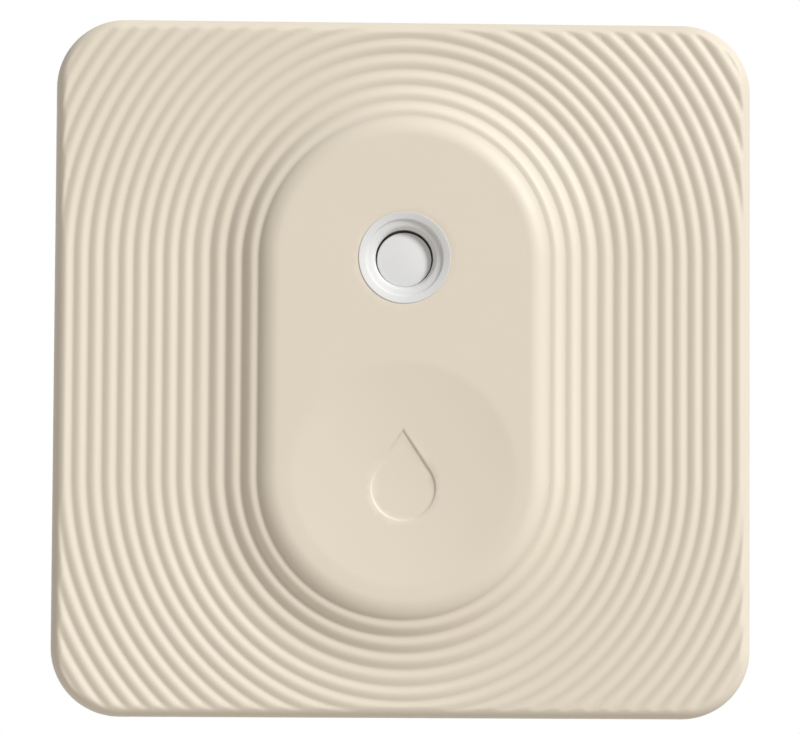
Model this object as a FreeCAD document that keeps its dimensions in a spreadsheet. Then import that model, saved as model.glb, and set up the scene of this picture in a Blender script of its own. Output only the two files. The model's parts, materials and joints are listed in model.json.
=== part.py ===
import FreeCAD, Part
import math
import os
from types import SimpleNamespace

import Sketcher
from FreeCAD import Vector

# Small square room sensor for temperature and humidity, millimetres.
# It lies on its back: +Z leaves the ribbed front, +Y is the top edge, +X the right edge.
# The origin is the middle of the flat back.

os.makedirs("parts", exist_ok=True)

SIZES = {
    # Case seen from the front
    "case_width": 37.0,
    "corner_radius": 3.65,
    "wall": 1.2,
    "front_wall": 1.3,
    "back_wall": 1.2,
    "edge_radius": 0.9,
    "front_band": 0.9,
    "side_draft": 5.5,
    "back_edge_break": 1.2,
    "parting_gap": 0.06,
    "parting_break": 0.15,
    "cut_over": 1.0,
    # Raised pill, flare and ribs, all measured outwards from the pill's centre line
    "pill_half_length": 5.65,
    "pill_flat_radius": 6.6,
    "first_valley_radius": 7.67,
    "flare_outer_radius": 11.15,
    "flare_rise": 0.93,
    "plateau_rise": 1.3,
    "flare_ribs": 4,
    "rib_pitch": 0.79,
    "rib_depth": 0.11,
    "flare_rib_extra": 0.075,
    "dish_radius": 5.9,
    "dish_floor_radius": 2.2,
    "dish_depth": 0.27,
    "pill_room_inset": 0.3,
    # Stack behind the plateau, from the back towards the front
    "cell_clearance": 0.6,
    "cell_height": 3.2,
    "contact_space": 0.4,
    "board_thickness": 1.0,
    "switch_height": 1.45,
    "plunger_stand": 0.5,
    "stem_gap": 0.05,
    "stem_length": 0.2,
    "button_flange": 0.4,
    "button_play": 0.1,
    "ring_flange": 0.6,
    # Lip, snap tabs and the opening notch
    "lip_clearance": 0.08,
    "lip_thickness": 0.8,
    "lip_board_gap": 0.35,
    "tab_width": 5.0,
    "tab_offset": 7.5,
    "tab_end_gap": 0.2,
    "catch_height": 0.3,
    "channel_clearance": 0.12,
    "channel_below_tab": 0.5,
    "notch_width": 8.0,
    "notch_depth": 0.8,
    "notch_height": 0.9,
    # Air slots in the lower side wall
    "slot_count": 7,
    "slot_width": 0.8,
    "slot_straight": 1.6,
    "slot_pitch": 1.6,
    "slot_level": 3.7,
    # Groove in the back that marks where a mounting pad goes, and the cell's rests inside
    "groove_half": 12.0,
    "groove_corner": 3.0,
    "groove_width": 0.5,
    "groove_depth": 0.2,
    "rest_length": 14.0,
    "rest_width": 0.8,
    "rest_spread": 5.0,
    "rest_gap": 0.1,
    # Light ring and button, on one axis in the upper half of the pill
    "button_y": 5.75,
    "ring_radius": 2.43,
    "ring_proud": 0.05,
    "ring_seat": 0.03,
    "ring_step_radius": 2.05,
    "ring_step_width": 0.05,
    "ring_lip_drop": 0.11,
    "ring_step_drop": 0.12,
    "ring_dish_radius": 1.74,
    "ring_dish_drop": 0.09,
    "ring_roll_radius": 1.6,
    "ring_roll_drop": 0.13,
    "ring_funnel_drop": 0.25,
    "ring_bore_radius": 1.52,
    "ring_flange_radius": 3.75,
    "leg_inner": 2.95,
    "leg_width": 1.2,
    "leg_gap": 0.1,
    "button_sag": 0.07,
    "button_radius": 1.43,
    "button_recess": 0.67,
    "button_crown_radius": 0.8,
    "button_crown_drop": 0.1,
    "button_edge": 0.06,
    "button_flange_radius": 2.2,
    "stem_radius": 0.9,
    # Switch under the button
    "switch_width": 4.5,
    "switch_cover_sheet": 0.2,
    "switch_base_floor": 0.5,
    "switch_well_radius": 1.7,
    "cover_hole_radius": 1.02,
    "cover_tab_gap": 0.3,
    "plunger_radius": 0.97,
    "plunger_flange_radius": 1.3,
    "plunger_flange": 0.25,
    "plunger_play": 0.05,
    "dome_radius": 1.5,
    "dome_crown_radius": 0.8,
    "dome_sheet": 0.08,
    "dome_seat_gap": 0.05,
    "terminal_length": 0.7,
    "terminal_width": 0.6,
    "terminal_sheet": 0.2,
    "terminal_spread": 1.3,
    # Circuit board
    "board_gap": 0.45,
    "board_corner": 3.0,
    "board_notch_gap": 0.3,
    "boss_inset": 3.2,
    "boss_radius": 1.7,
    "screw_radius": 0.7,
    "screw_hole_gap": 0.1,
    "screw_bite_gap": 0.02,
    "screw_head_radius": 1.25,
    "screw_head": 0.6,
    "screw_bite": 1.5,
    "pin_radius": 0.7,
    "pin_hole_gap": 0.06,
    "pin_end": 0.3,
    "sensor_slot": 0.8,
    "sensor_slot_gap": 0.9,
    # Button cell and what holds it
    "cell_radius": 10.0,
    "cell_centre_y": 1.5,
    "cell_step": 0.3,
    "cell_crimp": 0.1,
    "cell_rim": 0.6,
    "cell_seal": 0.6,
    "cell_edge": 0.35,
    "holder_gap": 0.15,
    "holder_wall": 1.0,
    "holder_floor_gap": 0.2,
    "holder_mouth": 11.0,
    "hook_reach": 0.7,
    "hook_width": 2.4,
    "hook_gap": 0.05,
    "contact_sheet": 0.2,
    "contact_width": 4.0,
    "contact_pocket": 0.55,
    "contact_foot": 2.2,
    "contact_touch_gap": 0.02,
    "contact_bow": 0.2,
    "leaf_width": 3.4,
    "leaf_length": 8.0,
    "leaf_foot": 3.0,
    "leaf_slit": 0.8,
    "leaf_sheet": 0.15,
    # Small parts on the board
    "chip_width": 5.0,
    "chip_height": 0.85,
    "chip_from_side": 8.1,
    "chip_y": 4.5,
    "chip_mark_radius": 0.3,
    "chip_mark_depth": 0.05,
    "clock_length": 3.2,
    "clock_width": 2.5,
    "clock_height": 0.7,
    "clock_from_side": 7.6,
    "clock_from_bottom": 6.4,
    "timer_length": 3.2,
    "timer_width": 1.5,
    "timer_height": 0.8,
    "timer_x": 3.4,
    "timer_y": 9.6,
    "lid_inset": 0.25,
    "lid_height": 0.2,
    "sensor_width": 2.5,
    "sensor_height": 0.9,
    "sensor_inset": 2.3,
    "sensor_port_radius": 0.45,
    "sensor_port_depth": 0.25,
    "lamp_length": 1.6,
    "lamp_width": 0.8,
    "lamp_height": 0.6,
    "reserve_length": 3.2,
    "reserve_width": 1.6,
    "reserve_height": 1.2,
    "reserve_from_side": 8.6,
    "reserve_y": 5.5,
    "chip_part_length": 1.0,
    "chip_part_width": 0.5,
    "capacitor_height": 0.5,
    "resistor_height": 0.35,
    "chip_part_pitch": 1.2,
    "chip_part_gap": 0.8,
    "capacitor_count": 5,
    "resistor_count": 4,
    "trace_width": 0.6,
    "trace_sheet": 0.05,
    "trace_pitch": 1.8,
    "trace_fingers": 6,
    "trace_depth": 3.6,
    "trace_inset": 0.8,
}

doc = FreeCAD.newDocument("room_sensor")
sheet = doc.addObject("Spreadsheet::Sheet", "sizes")


class Size:
    """A number together with the sheet formula that it comes from."""

    def __init__(self, number, formula):
        self.number = number
        self.formula = formula

    def __add__(self, other):
        return Size(self.number + number(other), f"({self.formula} + {formula(other)})")

    def __sub__(self, other):
        return Size(self.number - number(other), f"({self.formula} - {formula(other)})")

    def __mul__(self, other):
        return Size(self.number * number(other), f"({self.formula} * {formula(other)})")

    def __truediv__(self, other):
        return Size(self.number / number(other), f"({self.formula} / {formula(other)})")

    def __neg__(self):
        return Size(-self.number, f"(-1 * {self.formula})")


def number(value):
    return value.number if isinstance(value, Size) else float(value)


def formula(value):
    return value.formula if isinstance(value, Size) else repr(float(value))


def tangent(angle):
    """Tangent of a sheet angle in degrees."""
    return Size(math.tan(math.radians(angle.number)), f"tan({angle.formula} * 1 deg)")


def fill_sheet():
    """Writes every driving size to the sheet and returns them by name."""
    for row, (alias, value) in enumerate(SIZES.items(), start=1):
        sheet.set(f"A{row}", alias)
        sheet.set(f"B{row}", str(value))
        sheet.setAlias(f"B{row}", alias)
    doc.recompute()
    return SimpleNamespace(**{alias: Size(float(value), f"sizes.{alias}") for alias, value in SIZES.items()})


sz = fill_sheet()

# Levels of the stack, all from the back
cell_bottom = sz.back_wall + sz.cell_clearance
cell_top = cell_bottom + sz.cell_height
board_bottom = cell_top + sz.contact_space
board_top = board_bottom + sz.board_thickness
switch_top = board_top + sz.switch_height
plunger_top = switch_top + sz.plunger_stand
stem_end = plunger_top + sz.stem_gap
button_flange_bottom = stem_end + sz.stem_length
button_flange_top = button_flange_bottom + sz.button_flange
ring_bottom = button_flange_top + sz.button_play
pill_ceiling = ring_bottom + sz.ring_flange
plateau_level = pill_ceiling + sz.front_wall
rib_level = plateau_level - sz.plateau_rise
ceiling = rib_level - sz.front_wall
parting_level = rib_level - sz.edge_radius - sz.front_band
rear_rim = parting_level - sz.parting_gap
lip_bottom = board_top + sz.lip_board_gap
tab_bottom = board_bottom + sz.tab_end_gap
button_face = plateau_level - sz.button_recess

# Half widths of what nests inside the case
case_half = sz.case_width / 2
inner_half = case_half - sz.wall
lip_outer_half = inner_half - sz.lip_clearance
lip_inner_half = lip_outer_half - sz.lip_thickness
tab_outer_half = lip_outer_half - (parting_level - tab_bottom) * tangent(sz.side_draft)
catch_reach = tab_outer_half + sz.catch_height
board_half = inner_half - (parting_level - board_bottom) * tangent(sz.side_draft) - sz.board_gap
boss_place = board_half - sz.boss_inset
chip_x = board_half - sz.chip_from_side
sensor_y = -(board_half - sz.sensor_inset)
ring_hole_radius = sz.ring_radius + sz.ring_seat

# The sketcher's own numbers for an edge's points, and for the origin and the two axes
START, END, CENTRE = range(1, 4)
ORIGIN_POINT = ROW_AXIS = -1
COLUMN_AXIS = ROW_AXIS - 1
FACE_DOWN = Vector(0, 0, -1)
FACE_UP = Vector(0, 0, 1)


def new_body(label, x=None, y=None):
    """A body whose axis may stand away from the origin, tied to the sheet."""
    body = doc.addObject("PartDesign::Body", label)
    body.Label = label
    body.AllowCompound = True
    for axis, place in (("x", x), ("y", y)):
        if place is not None:
            body.setExpression(f"Placement.Base.{axis}", formula(place))
    return body


def new_sketch(body, name, plane="XY_Plane", level=None):
    """A sketch on one of the body's own origin planes, lifted to a level."""
    sketch = body.newObject("Sketcher::SketchObject", name)
    origin_plane = next(f for f in body.Origin.OriginFeatures if f.Role == plane)
    sketch.AttachmentSupport = [(origin_plane, "")]
    sketch.MapMode = "FlatFace"
    if level is not None:
        sketch.setExpression("AttachmentOffset.Base.z", formula(level))
    return sketch


def hold_axis(sketch, kind, axis, geometry, point, place):
    """Holds one coordinate of a point: on the axis where it is zero, else at a sheet distance."""
    if number(place) == 0:
        sketch.addConstraint(Sketcher.Constraint("PointOnObject", geometry, point, axis))
        return
    index = sketch.addConstraint(
        Sketcher.Constraint(kind, ORIGIN_POINT, START, geometry, point, number(place))
    )
    if isinstance(place, Size):
        sketch.setExpression(f"Constraints[{index}]", formula(place))


def hold_point(sketch, geometry, point, x, y):
    hold_axis(sketch, "DistanceX", COLUMN_AXIS, geometry, point, x)
    hold_axis(sketch, "DistanceY", ROW_AXIS, geometry, point, y)


def polygon(sketch, points):
    """A closed outline of straight edges, each corner held at its sheet sizes."""
    corners = [Vector(number(x), number(y), 0) for x, y in points]
    lines = []
    for i, corner in enumerate(corners):
        lines.append(sketch.addGeometry(Part.LineSegment(corner, corners[(i + 1) % len(corners)]), False))
    for i, line in enumerate(lines):
        following = lines[(i + 1) % len(lines)]
        sketch.addConstraint(Sketcher.Constraint("Coincident", line, END, following, START))
    for line, (x, y) in zip(lines, points):
        hold_point(sketch, line, START, x, y)


def rectangle(sketch, low_x, high_x, low_y, high_y):
    polygon(sketch, [(low_x, low_y), (high_x, low_y), (high_x, high_y), (low_x, high_y)])


def centred_rectangle(sketch, width, height):
    rectangle(sketch, -width / 2, width / 2, -height / 2, height / 2)


def rounded_square(sketch, half, corner):
    """A square about the middle whose corners are arcs."""
    straight = half - corner
    reach, inset = number(half), number(straight)
    chain, arcs = [], []
    for turn in range(4):
        turned = FreeCAD.Rotation(FACE_UP, 90 * turn)
        start = turned.multVec(Vector(reach, -inset, 0))
        end = turned.multVec(Vector(reach, inset, 0))
        centre = turned.multVec(Vector(inset, inset, 0))
        chain.append(sketch.addGeometry(Part.LineSegment(start, end), False))
        round_corner = Part.ArcOfCircle(
            Part.Circle(centre, FACE_UP, number(corner)), math.pi / 2 * turn, math.pi / 2 * (turn + 1)
        )
        chain.append(sketch.addGeometry(round_corner, False))
        arcs.append((chain[-1], straight if centre.x > 0 else -straight, straight if centre.y > 0 else -straight))
    for i, edge in enumerate(chain):
        sketch.addConstraint(Sketcher.Constraint("Tangent", edge, END, chain[(i + 1) % len(chain)], START))
    for arc, x, y in arcs:
        index = sketch.addConstraint(Sketcher.Constraint("Radius", arc, number(corner)))
        sketch.setExpression(f"Constraints[{index}]", formula(corner))
        hold_point(sketch, arc, CENTRE, x, y)


def circle(sketch, radius, x=0, y=0):
    """A circle whose radius and centre are tied to the sheet."""
    centre = Vector(number(x), number(y), 0)
    made = sketch.addGeometry(Part.Circle(centre, FACE_UP, number(radius)), False)
    index = sketch.addConstraint(Sketcher.Constraint("Radius", made, number(radius)))
    if isinstance(radius, Size):
        sketch.setExpression(f"Constraints[{index}]", formula(radius))
    hold_point(sketch, made, CENTRE, x, y)


def racetrack(sketch, radius, half_length, x=0, y=0):
    """Two half circles joined by straight edges along the sketch's Y."""
    low = Vector(number(x), number(y) - number(half_length), 0)
    high = Vector(number(x), number(y) + number(half_length), 0)
    reach = Vector(number(radius), 0, 0)
    top = sketch.addGeometry(Part.ArcOfCircle(Part.Circle(high, FACE_UP, number(radius)), 0, math.pi), False)
    left = sketch.addGeometry(Part.LineSegment(high - reach, low - reach), False)
    bottom = sketch.addGeometry(
        Part.ArcOfCircle(Part.Circle(low, FACE_UP, number(radius)), math.pi, 2 * math.pi), False
    )
    right = sketch.addGeometry(Part.LineSegment(low + reach, high + reach), False)
    ring = [top, left, bottom, right]
    for i, edge in enumerate(ring):
        sketch.addConstraint(Sketcher.Constraint("Tangent", edge, END, ring[(i + 1) % len(ring)], START))
    index = sketch.addConstraint(Sketcher.Constraint("Radius", top, number(radius)))
    sketch.setExpression(f"Constraints[{index}]", formula(radius))
    hold_point(sketch, top, CENTRE, x, half_length + y if number(y) else half_length)
    hold_axis(sketch, "DistanceY", ROW_AXIS, bottom, CENTRE, -half_length + y if number(y) else -half_length)


def extrude(kind, body, sketch, length, reverse=False, middle=False, taper=None):
    """A pad or a pocket of a sheet length."""
    feature = body.newObject(f"PartDesign::{kind}", sketch.Name + "_" + kind.lower())
    feature.Profile = sketch
    feature.Reversed = reverse
    feature.Midplane = middle
    feature.setExpression("Length", formula(length))
    if taper is not None:
        feature.setExpression("TaperAngle", formula(taper))
    doc.recompute()
    return feature


def pad(body, sketch, length, **choices):
    return extrude("Pad", body, sketch, length, **choices)


def pocket(body, sketch, length, **choices):
    """A pocket that has to remove something, or the build stops."""
    before = body.Tip.Shape.Volume
    feature = extrude("Pocket", body, sketch, length, **choices)
    if feature.Shape.Volume >= before:
        raise RuntimeError(f"{feature.Name} cuts nothing")
    return feature


def revolve(body, sketch):
    """A full turn about the sketch's vertical axis."""
    feature = body.newObject("PartDesign::Revolution", sketch.Name + "_turn")
    feature.Profile = sketch
    feature.ReferenceAxis = (sketch, ["V_Axis"])
    feature.Angle = 360.0
    doc.recompute()
    return feature


def edges_of(feature, chosen):
    """Names of a feature's edges that a test picks."""
    return [f"Edge{i}" for i, edge in enumerate(feature.Shape.Edges, start=1) if chosen(edge)]


def round_edges(body, feature, radius, chosen):
    fillet = body.newObject("PartDesign::Fillet", feature.Name + "_round")
    fillet.Base = (feature, edges_of(feature, chosen))
    fillet.setExpression("Radius", formula(radius))
    doc.recompute()
    return fillet


def break_edges(body, feature, width, chosen):
    chamfer = body.newObject("PartDesign::Chamfer", feature.Name + "_break")
    chamfer.Base = (feature, edges_of(feature, chosen))
    chamfer.setExpression("Size", formula(width))
    doc.recompute()
    return chamfer


def draft_walls(body, feature, angle, level, chosen, reverse=False):
    """Leans the chosen walls so that they keep their size at one level and draw in below it."""
    faces = list(enumerate(feature.Shape.Faces, start=1))
    walls = [f"Face{i}" for i, face in faces if chosen(face)]
    rim = next(f"Face{i}" for i, face in faces if lies_at(level)(face))
    draft = body.newObject("PartDesign::Draft", feature.Name + "_draft")
    draft.Base = (feature, walls)
    draft.NeutralPlane = (feature, [rim])
    draft.Reversed = reverse
    draft.setExpression("Angle", formula(angle))
    doc.recompute()
    return draft


TOUCH = 1e-4


def lies_at(level):
    """Picks edges or faces that lie wholly at one height."""
    return climbs(level, level)


def climbs(low, high):
    """Picks walls that reach exactly from one level to another."""
    return lambda face: (
        abs(face.BoundBox.ZMin - number(low)) < TOUCH and abs(face.BoundBox.ZMax - number(high)) < TOUCH
    )


def tab_places():
    """Where the snap tabs stand: (turn about Z in degrees, offset along the side)."""
    places = []
    for turn in (0, 180):
        places.append((turn, None))
    for turn in (90, 270):
        places.append((turn, -sz.tab_offset))
        places.append((turn, sz.tab_offset))
    return places


def side_rectangle(sketch, turn, low, high, offset, half_width):
    """A rectangle standing off the middle by low to high, on the side that the turn points to."""
    near = -half_width if offset is None else offset - half_width
    far = half_width if offset is None else offset + half_width
    if turn == 0:
        rectangle(sketch, low, high, near, far)
    elif turn == 90:
        rectangle(sketch, near, far, low, high)
    elif turn == 180:
        rectangle(sketch, -high, -low, near, far)
    else:
        rectangle(sketch, near, far, -high, -low)


SHOULDER_STEPS = 4


def rib_profile():
    """Edges of the front's section in the XZ plane, from the pill's middle out past the corners.

    A flat plateau turns down over a round shoulder, a hollow flare carries the first ribs,
    and the rest ride on the level field. Every rib is a ridge with two flanks between two valleys.
    """
    top = plateau_level.number
    field = rib_level.number - sz.rib_depth.number
    flat_end = Vector(sz.pill_flat_radius.number, 0, top)
    first_valley = Vector(sz.first_valley_radius.number, 0, field + sz.flare_rise.number)

    shoulder_run = first_valley.x - flat_end.x
    shoulder_drop = flat_end.z - first_valley.z
    shoulder_radius = (shoulder_run**2 + shoulder_drop**2) / (2 * shoulder_drop)
    full_turn = math.asin(shoulder_run / shoulder_radius)
    shoulder = [flat_end]
    for i in range(1, SHOULDER_STEPS + 1):
        turn = full_turn * i / SHOULDER_STEPS
        shoulder.append(flat_end + Vector(math.sin(turn), 0, math.cos(turn) - 1) * shoulder_radius)

    flare_run = sz.flare_outer_radius.number - first_valley.x
    flare_radius = (flare_run**2 + sz.flare_rise.number**2) / (2 * sz.flare_rise.number)

    def valley(out):
        left = max(0.0, sz.flare_outer_radius.number - out)
        return Vector(out, 0, field + flare_radius - math.sqrt(flare_radius**2 - left**2))

    half = case_half.number
    corner_reach = math.hypot(half, half - sz.pill_half_length.number)
    flare_pitch = flare_run / round(sz.flare_ribs.number)
    places = [first_valley.x + i * flare_pitch for i in range(round(sz.flare_ribs.number))]
    while places[-1] < corner_reach:
        nearest = max(sz.flare_outer_radius.number, places[-1] + sz.rib_pitch.number)
        places.append(sz.flare_outer_radius.number if places[-1] < sz.flare_outer_radius.number - TOUCH else nearest)

    edges = [Part.makeLine(Vector(0, 0, top), flat_end)]
    edges += [Part.makeLine(near, far) for near, far in zip(shoulder, shoulder[1:])]
    for near, far in zip(places, places[1:]):
        low, high = valley(near), valley(far)
        along = high - low
        outward = Vector(-along.z, 0, along.x).normalize()
        middle = (low + high) * 0.5
        flare_share = max(0.0, sz.flare_outer_radius.number - middle.x) / flare_run
        depth = sz.rib_depth.number + sz.flare_rib_extra.number * flare_share
        crest = middle + outward * depth
        edges.append(Part.makeLine(low, crest))
        edges.append(Part.makeLine(crest, high))
    return edges, valley(places[-1])


def front_form_cutter():
    """Everything in front of the ribbed face, as one tool to be cut away from the blank."""
    edges, last = rib_profile()
    over = plateau_level.number + sz.plateau_rise.number
    edges.append(Part.makeLine(last, Vector(last.x, 0, over)))
    edges.append(Part.makeLine(Vector(last.x, 0, over), Vector(0, 0, over)))
    edges.append(Part.makeLine(Vector(0, 0, over), Vector(0, 0, plateau_level.number)))
    section = Part.Face(Part.Wire(edges))
    half_length = sz.pill_half_length.number

    top_end = section.translated(Vector(0, half_length, 0))
    top_end = top_end.revolve(Vector(0, half_length, 0), FACE_UP, 180)
    bottom_end = section.translated(Vector(0, -half_length, 0))
    bottom_end = bottom_end.revolve(Vector(0, -half_length, 0), FACE_UP, -180)
    right_side = section.translated(Vector(0, -half_length, 0)).extrude(Vector(0, 2 * half_length, 0))
    left_side = right_side.mirror(Vector(0, 0, 0), Vector(1, 0, 0))

    dish_floor = plateau_level.number - sz.dish_depth.number
    dish_corners = [
        Vector(0, -half_length, dish_floor),
        Vector(sz.dish_floor_radius.number, -half_length, dish_floor),
        Vector(sz.dish_radius.number, -half_length, plateau_level.number),
        Vector(sz.dish_radius.number, -half_length, over),
        Vector(0, -half_length, over),
    ]
    dish_section = Part.Face(Part.makePolygon(dish_corners + dish_corners[:1]))
    dish = dish_section.revolve(Vector(0, -half_length, 0), FACE_UP, 360)

    cutter = doc.addObject("Part::Feature", "front_form_cutter")
    cutter.Shape = top_end.multiFuse([bottom_end, right_side, left_side, dish])
    return cutter


BLANK_OVER = 0.05


def front_blank():
    """The front shell before its face is formed: plate, rounded edge, pill boss, lip, tabs and bosses."""
    body = new_body("front_blank")
    plate_top = rib_level + BLANK_OVER
    outline = new_sketch(body, "front_outline", level=parting_level)
    rounded_square(outline, case_half, sz.corner_radius)
    plate = pad(body, outline, plate_top - parting_level)
    rounded = round_edges(body, plate, sz.edge_radius, lies_at(plate_top))
    break_edges(body, rounded, sz.parting_break, lies_at(parting_level))

    boss = new_sketch(body, "pill_boss", level=parting_level)
    racetrack(boss, sz.flare_outer_radius, sz.pill_half_length)
    pad(body, boss, plateau_level + BLANK_OVER - parting_level)

    lip = new_sketch(body, "lip", level=parting_level)
    rounded_square(lip, lip_outer_half, sz.corner_radius - sz.wall - sz.lip_clearance)
    pad(body, lip, parting_level - lip_bottom, reverse=True, taper=-sz.side_draft)

    tabs = new_sketch(body, "snap_tabs", level=lip_bottom)
    for turn, offset in tab_places():
        side_rectangle(tabs, turn, lip_inner_half, tab_outer_half, offset, sz.tab_width / 2)
    pad(body, tabs, lip_bottom - tab_bottom, reverse=True)

    catches = new_sketch(body, "catches", level=board_top)
    for turn, offset in tab_places():
        side_rectangle(
            catches, turn, tab_outer_half - sz.catch_height, catch_reach, offset, sz.tab_width / 2
        )
    pad(body, catches, board_top - tab_bottom - sz.tab_end_gap, reverse=True)

    cavity = new_sketch(body, "cavity", level=lip_bottom)
    rounded_square(cavity, lip_inner_half, sz.corner_radius - sz.wall - sz.lip_thickness)
    pocket(body, cavity, ceiling - lip_bottom, reverse=True)

    under_pill = new_sketch(body, "under_pill", level=ceiling)
    racetrack(under_pill, sz.pill_flat_radius - sz.pill_room_inset, sz.pill_half_length)
    pocket(body, under_pill, pill_ceiling - ceiling, reverse=True)

    bosses = new_sketch(body, "screw_bosses", level=board_top)
    for x, y in ((1, 1), (-1, 1), (-1, -1), (1, -1)):
        circle(bosses, sz.boss_radius, boss_place * x, boss_place * y)
    pad(body, bosses, ceiling - board_top)

    pins = new_sketch(body, "locating_pins", level=board_bottom - sz.pin_end)
    for x in (1, -1):
        circle(pins, sz.pin_radius, boss_place * x, boss_place * -x)
    pad(body, pins, board_top - board_bottom + sz.pin_end)

    threads = new_sketch(body, "screw_holes", level=board_top)
    for x in (1, -1):
        circle(threads, sz.screw_radius + sz.screw_bite_gap, boss_place * x, boss_place * x)
    pocket(body, threads, sz.screw_bite + sz.screw_bite_gap, reverse=True)

    window = new_sketch(body, "ring_hole", level=ceiling)
    circle(window, ring_hole_radius, 0, sz.button_y)
    pocket(body, window, plateau_level - ceiling + sz.cut_over, reverse=True)
    return body


def front_shell():
    shell = doc.addObject("Part::Cut", "front_shell")
    shell.Base = front_blank()
    shell.Tool = front_form_cutter()
    return shell


def rear_housing():
    """Deep drafted tray that closes the back, with a bevelled back edge and air slots."""
    body = new_body("rear_housing")
    outline = new_sketch(body, "rear_outline", level=rear_rim)
    rounded_square(outline, case_half, sz.corner_radius)
    block = pad(body, outline, rear_rim, reverse=True)
    leaned = draft_walls(body, block, sz.side_draft, rear_rim, climbs(0, rear_rim), reverse=True)
    back = break_edges(body, leaned, sz.back_edge_break, lies_at(0))
    break_edges(body, back, sz.parting_break, lies_at(rear_rim))

    inside = new_sketch(body, "rear_cavity", level=rear_rim)
    rounded_square(inside, inner_half, sz.corner_radius - sz.wall)
    hollow = pocket(body, inside, rear_rim - sz.back_wall)
    draft_walls(body, hollow, sz.side_draft, rear_rim, climbs(sz.back_wall, rear_rim))

    channels = new_sketch(body, "catch_channels", level=rear_rim)
    for turn, offset in tab_places():
        side_rectangle(
            channels, turn, inner_half - sz.wall, catch_reach + sz.channel_clearance,
            offset, sz.tab_width / 2 + sz.channel_clearance
        )
    pocket(body, channels, rear_rim - tab_bottom + sz.channel_below_tab)

    notch = new_sketch(body, "opening_notch", level=rear_rim)
    rectangle(notch, -sz.notch_width / 2, sz.notch_width / 2, case_half - sz.notch_depth, case_half + sz.cut_over)
    pocket(body, notch, sz.notch_height)

    slot = new_sketch(body, "air_slot", plane="XZ_Plane", level=inner_half - sz.wall)
    first = -(sz.slot_count - 1) * sz.slot_pitch / 2
    racetrack(slot, sz.slot_width / 2, sz.slot_straight / 2, first, sz.slot_level)
    cut = pocket(body, slot, sz.wall * 4, reverse=True)
    row = body.newObject("PartDesign::LinearPattern", "air_slots")
    row.Originals = [cut]
    row.Direction = (slot, ["H_Axis"])
    row.setExpression("Length", formula((sz.slot_count - 1) * sz.slot_pitch))
    row.Occurrences = round(sz.slot_count.number)
    body.Tip = row
    doc.recompute()

    rests = new_sketch(body, "cell_rests", level=sz.back_wall)
    low, high = sz.cell_centre_y - sz.rest_length / 2, sz.cell_centre_y + sz.rest_length / 2
    for side in (-1, 1):
        near = sz.rest_spread * side - sz.rest_width / 2
        rectangle(rests, near, near + sz.rest_width, low, high)
    pad(body, rests, sz.cell_clearance - sz.rest_gap)

    groove = new_sketch(body, "pad_groove")
    rounded_square(groove, sz.groove_half, sz.groove_corner)
    rounded_square(groove, sz.groove_half - sz.groove_width, sz.groove_corner - sz.groove_width)
    pocket(body, groove, sz.groove_depth, reverse=True)
    return body


def light_ring():
    """Ring round the button: a dished rim with a fine step and a funnel, a flange and two light legs."""
    body = new_body("light_ring", y=sz.button_y)
    section = new_sketch(body, "ring_section", plane="XZ_Plane")
    rim_level = plateau_level + sz.ring_proud
    step_level = rim_level - sz.ring_lip_drop
    ledge_level = step_level - sz.ring_step_drop
    mouth_level = ledge_level - sz.ring_dish_drop
    polygon(section, [
        (sz.ring_bore_radius, ring_bottom),
        (sz.ring_flange_radius, ring_bottom),
        (sz.ring_flange_radius, pill_ceiling),
        (sz.ring_radius, pill_ceiling),
        (sz.ring_radius, rim_level),
        (sz.ring_step_radius, step_level),
        (sz.ring_step_radius - sz.ring_step_width, ledge_level),
        (sz.ring_dish_radius, mouth_level),
        (sz.ring_roll_radius, mouth_level - sz.ring_roll_drop),
        (sz.ring_bore_radius, mouth_level - sz.ring_roll_drop - sz.ring_funnel_drop),
    ])
    revolve(body, section)

    legs = new_sketch(body, "light_legs", level=ring_bottom)
    leg_outer = sz.ring_flange_radius - sz.ring_seat * 2
    rectangle(legs, sz.leg_inner, leg_outer, -sz.leg_width / 2, sz.leg_width / 2)
    rectangle(legs, -leg_outer, -sz.leg_inner, -sz.leg_width / 2, sz.leg_width / 2)
    pad(body, legs, ring_bottom - board_top - sz.lamp_height - sz.leg_gap, reverse=True)
    return body


def button_cap():
    """Round cap, slightly domed and sitting a little low in the ring, held by a flange, with a stem."""
    body = new_body("button_cap", y=sz.button_y - sz.button_sag)
    crown_edge = button_face - sz.button_crown_drop
    section = new_sketch(body, "cap_section", plane="XZ_Plane")
    polygon(section, [
        (0, stem_end),
        (sz.stem_radius, stem_end),
        (sz.stem_radius, button_flange_bottom),
        (sz.button_flange_radius, button_flange_bottom),
        (sz.button_flange_radius, button_flange_top),
        (sz.button_radius, button_flange_top),
        (sz.button_radius, crown_edge - sz.button_edge),
        (sz.button_radius - sz.button_edge, crown_edge),
        (sz.button_crown_radius, button_face),
        (0, button_face),
    ])
    revolve(body, section)
    return body


def switch_body():
    """Moulded base of the push switch, with a round well for the dome."""
    body = new_body("switch_body", y=sz.button_y)
    base_top = switch_top - sz.switch_cover_sheet
    outline = new_sketch(body, "switch_outline", level=board_top)
    centred_rectangle(outline, sz.switch_width, sz.switch_width - sz.switch_cover_sheet * 2)
    pad(body, outline, base_top - board_top)
    well = new_sketch(body, "switch_well", level=base_top)
    circle(well, sz.switch_well_radius)
    pocket(body, well, base_top - board_top - sz.switch_base_floor)
    return body


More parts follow.
